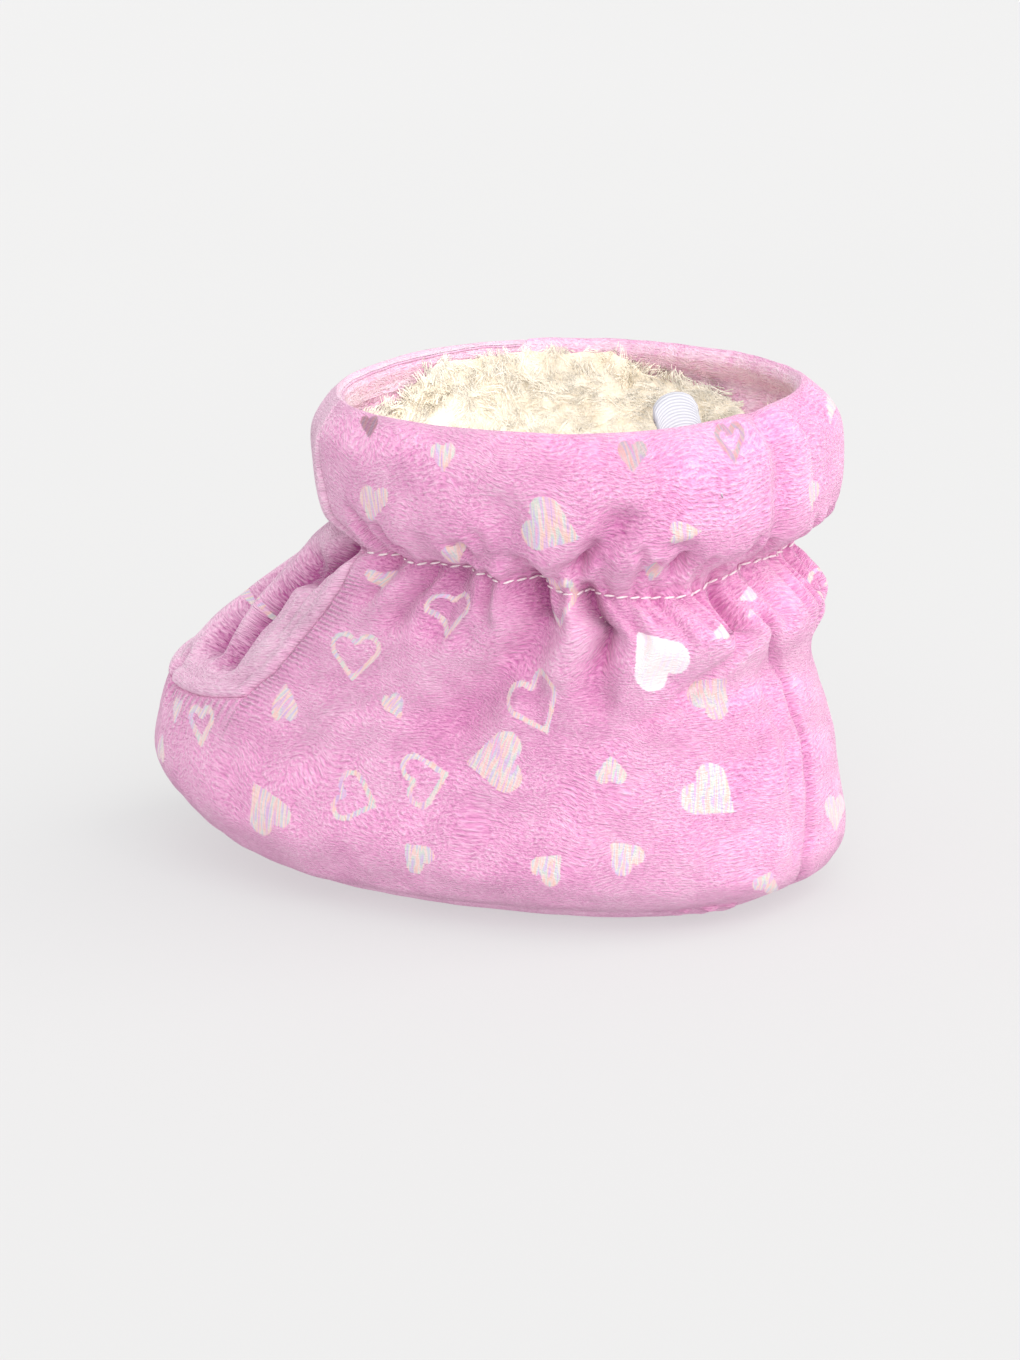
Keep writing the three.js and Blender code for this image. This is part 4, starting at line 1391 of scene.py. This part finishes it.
    def build(self) -> list[bpy.types.Object]:
        """Build the ground and the locks."""
        return [
            self.build_ground(),
            self.build_locks("sherpa_locks_rim", 2400, 0.85, 1.0, 31),
            self.build_locks("sherpa_locks_collar", 2400, 0.68, 0.87, 32),
            self.build_locks("sherpa_locks_foot", 500, 0.1, 0.7, 33),
        ]


@dataclass
class RibbonLoop:
    """The folded satin ribbon that stands inside the cuff."""

    last: Last
    material: bpy.types.Material
    width: float = 6.6
    rise: float = 15.6
    bend: float = 1.1
    arch: float = 2.9
    angle: float = 152.5
    level: float = 0.868
    lean: float = 34.0
    turn: float = -20.0
    sink: float = 3.4
    thickness: float = 0.5

    def build(self) -> bpy.types.Object:
        """Build the ribbon as one folded sheet with its own thickness."""
        angle = np.array([math.radians(self.angle)])
        level = np.array([self.level])
        foot = self.last.surface(angle, level, np.array([self.sink]), MAIN_FOLDS)
        inwards = Vector((-foot.normal[0][0], -foot.normal[0][1], 0.0)).normalized()
        up = Vector((0.0, 0.0, 1.0))
        lean = math.radians(self.lean)
        along = up * math.cos(lean) + inwards * math.sin(lean)
        wide = inwards.cross(up).normalized()
        wide = (Matrix.Rotation(math.radians(self.turn), 3, along) @ wide).normalized()
        thick = along.cross(wide)
        origin = Vector(foot.points[0])
        straight = self.rise - self.bend
        run = 2 * straight + math.pi * self.bend

        def place(across: Array, up_share: Array) -> tuple[Array, Array, dict[str, Array]]:
            """Lay the ribbon's grid round its fold."""
            s = up_share * run
            turn = np.clip((s - straight) / self.bend, 0.0, math.pi)
            side = -self.bend * np.cos(turn)
            height = np.where(s < straight, s, np.where(s > run - straight, run - s, straight))
            height = height + self.bend * np.sin(turn)
            off = (across - 0.5) * self.width
            radius = self.width / 2
            height = height - self.arch * (1 - np.sqrt(np.clip(1 - (off / radius) ** 2, 0.0, 1.0)))
            points = (
                np.array(origin)[None, :]
                + side[:, None] * np.array(thick)[None, :]
                + height[:, None] * np.array(along)[None, :]
                + off[:, None] * np.array(wide)[None, :]
            )
            return points, np.stack([off, s], -1), {}

        mesh = cloth_grid("ribbon", 16, 90, place, closed=False)
        piece = add_piece(mesh, self.material, "ribbon_loop")
        thicken = piece.modifiers.new("thickness", "SOLIDIFY")
        thicken.thickness = self.thickness * MM
        thicken.offset = 0.0
        return piece


@dataclass
class Studio:
    """The pale floor, the soft light and the camera."""

    azimuth: float = 219.33
    elevation: float = 14.7
    distance: float = 823.08
    roll: float = -4.2
    focal_px: float = 5139.37
    target: tuple[float, float, float] = (-4.75, 0.0, 42.0)
    target_px: tuple[float, float] = (504.67, 612.58)
    frame_px: tuple[float, float] = (1020.0, 1360.0)
    sensor: float = 36.0
    reach: tuple[float, float] = (0.05, 20.0)
    floor_half: float = 3.0
    sky: float = 0.88

    def view_axes(self) -> tuple[Vector, Vector, Vector]:
        """Return the photograph's right, up and backward directions."""
        azimuth, elevation = math.radians(self.azimuth), math.radians(self.elevation)
        level = math.cos(elevation)
        back = Vector((math.sin(azimuth) * level, -math.cos(azimuth) * level, math.sin(elevation)))
        right = Vector((0.0, 0.0, 1.0)).cross(back).normalized()
        up = back.cross(right)
        roll = math.radians(self.roll)
        across = right * math.cos(roll) + up * math.sin(roll)
        return across, up * math.cos(roll) - right * math.sin(roll), back

    def camera(self) -> bpy.types.Object:
        """Build the camera at the photograph's angle, aimed so that it needs no shift."""
        right, up, back = self.view_axes()
        eye = Vector(self.target) + back * self.distance
        left_px = self.frame_px[0] / 2 - self.target_px[0]
        high_px = self.frame_px[1] / 2 - self.target_px[1]
        aim = Vector(self.target) + (right * left_px - up * high_px) * self.distance / self.focal_px
        back = (eye - aim).normalized()
        right = (right - back * right.dot(back)).normalized()
        up = back.cross(right)
        data = bpy.data.cameras.new("camera")
        data.sensor_fit = "VERTICAL"
        data.sensor_height = self.sensor
        data.lens = self.focal_px * self.sensor / self.frame_px[1]
        data.clip_start, data.clip_end = self.reach
        camera = bpy.data.objects.new("camera", data)
        turn = Matrix((right, up, back)).transposed().to_4x4()
        camera.matrix_world = Matrix.Translation(eye * MM) @ turn
        bpy.context.scene.collection.objects.link(camera)
        bpy.context.scene.camera = camera
        return camera

    def light(
        self, name: str, way: tuple[float, float, float], spread: float, power: float, tint: str
    ) -> None:
        """Add one broad soft light.

        Args:
            name: The light's name.
            way: Where it shines from: shares of the view's right, of straight up and of towards the camera.
            spread: The angle that it fills in degrees.
            power: Its strength.
            tint: Its colour.
        """
        right, _, back = self.view_axes()
        level_right = Vector((right.x, right.y, 0.0)).normalized()
        level_back = Vector((back.x, back.y, 0.0)).normalized()
        source = level_right * way[0] + Vector((0.0, 0.0, 1.0)) * way[1] + level_back * way[2]
        data = bpy.data.lights.new(name, "SUN")
        data.energy = power
        data.angle = math.radians(spread)
        data.color = srgb(tint)[:3]
        lamp = bpy.data.objects.new(name, data)
        lamp.rotation_euler = source.to_track_quat("Z", "Y").to_euler()
        bpy.context.scene.collection.objects.link(lamp)

    def floor(self) -> None:
        """Add the floor, a wide plain sheet that is not part of the shoe."""
        bm = bmesh.new()
        bmesh.ops.create_grid(bm, x_segments=8, y_segments=8, size=self.floor_half)
        mesh = to_mesh("floor", bm)
        table = Matt("light table", "#7f7f7f", "#7e7e7e", roughness=0.95, scale=4.0, glow=0.53)
        mesh.materials.append(table.material())
        sheet = bpy.data.objects.new("floor", mesh)
        bpy.context.scene.collection.objects.link(sheet)

    def build(self) -> None:
        """Build the whole studio."""
        self.camera()
        self.floor()
        world = bpy.data.worlds.new("studio")
        world.use_nodes = True
        background = world.node_tree.nodes["Background"]
        background.inputs[0].default_value = srgb("#ffffff")
        background.inputs[1].default_value = self.sky
        bpy.context.scene.world = world
        self.light("key", (0.85, 0.7, 0.25), 55.0, 1.4, "#fffaf5")
        self.light("front", (0.25, 0.6, 1.0), 55.0, 2.0, "#ffffff")
        bpy.context.scene.view_settings.view_transform = "Standard"


def main() -> None:
    """Build every piece of the dressed bootie in order."""
    logging.basicConfig(level=logging.INFO, format="%(name)s: %(message)s")
    studio = Studio()
    studio.build()
    right, up, _ = studio.view_axes()
    last = Last()
    seam = ApronSeam()
    hearts = HeartPrint(right, up)
    folds = MAIN_FOLDS + FINE_FOLDS + small_pleats(5)
    velour = Velour("printed velour", "#e499c6", "#f8d3e7", "#b0458f").material()
    # Painted light: the apron takes a lighter copy of the same velour, for the light that falls on its
    # upturned face.
    apron_velour_lit = Velour("apron velour painted lighter", "#eab4d3", "#fae2ee", "#aa4389").material()
    fleece = Fleece().material()
    thread = Matt("polyester thread", "#f6ecec", "#e6d4da", 0.5, 2500.0).material()
    elastic = ElasticSeam(last, thread)
    shell = VelourShell(last, seam, elastic, hearts, velour, folds)
    pieces = [shell.build_foot(), shell.build_cuff(), elastic.build(folds)]
    pieces.append(ApronPanel(last, seam, elastic, hearts, apron_velour_lit, folds).build())
    pieces.extend(SoftPads(last, velour, fleece).build())
    pieces.extend(SherpaLining(last, fleece, folds).build())
    pieces.append(RibbonLoop(last, Satin().material()).build())
    for piece in pieces:
        LOG.info("%s: %d faces", piece.name, len(piece.data.polygons))


if __name__ == "__main__":
    main()
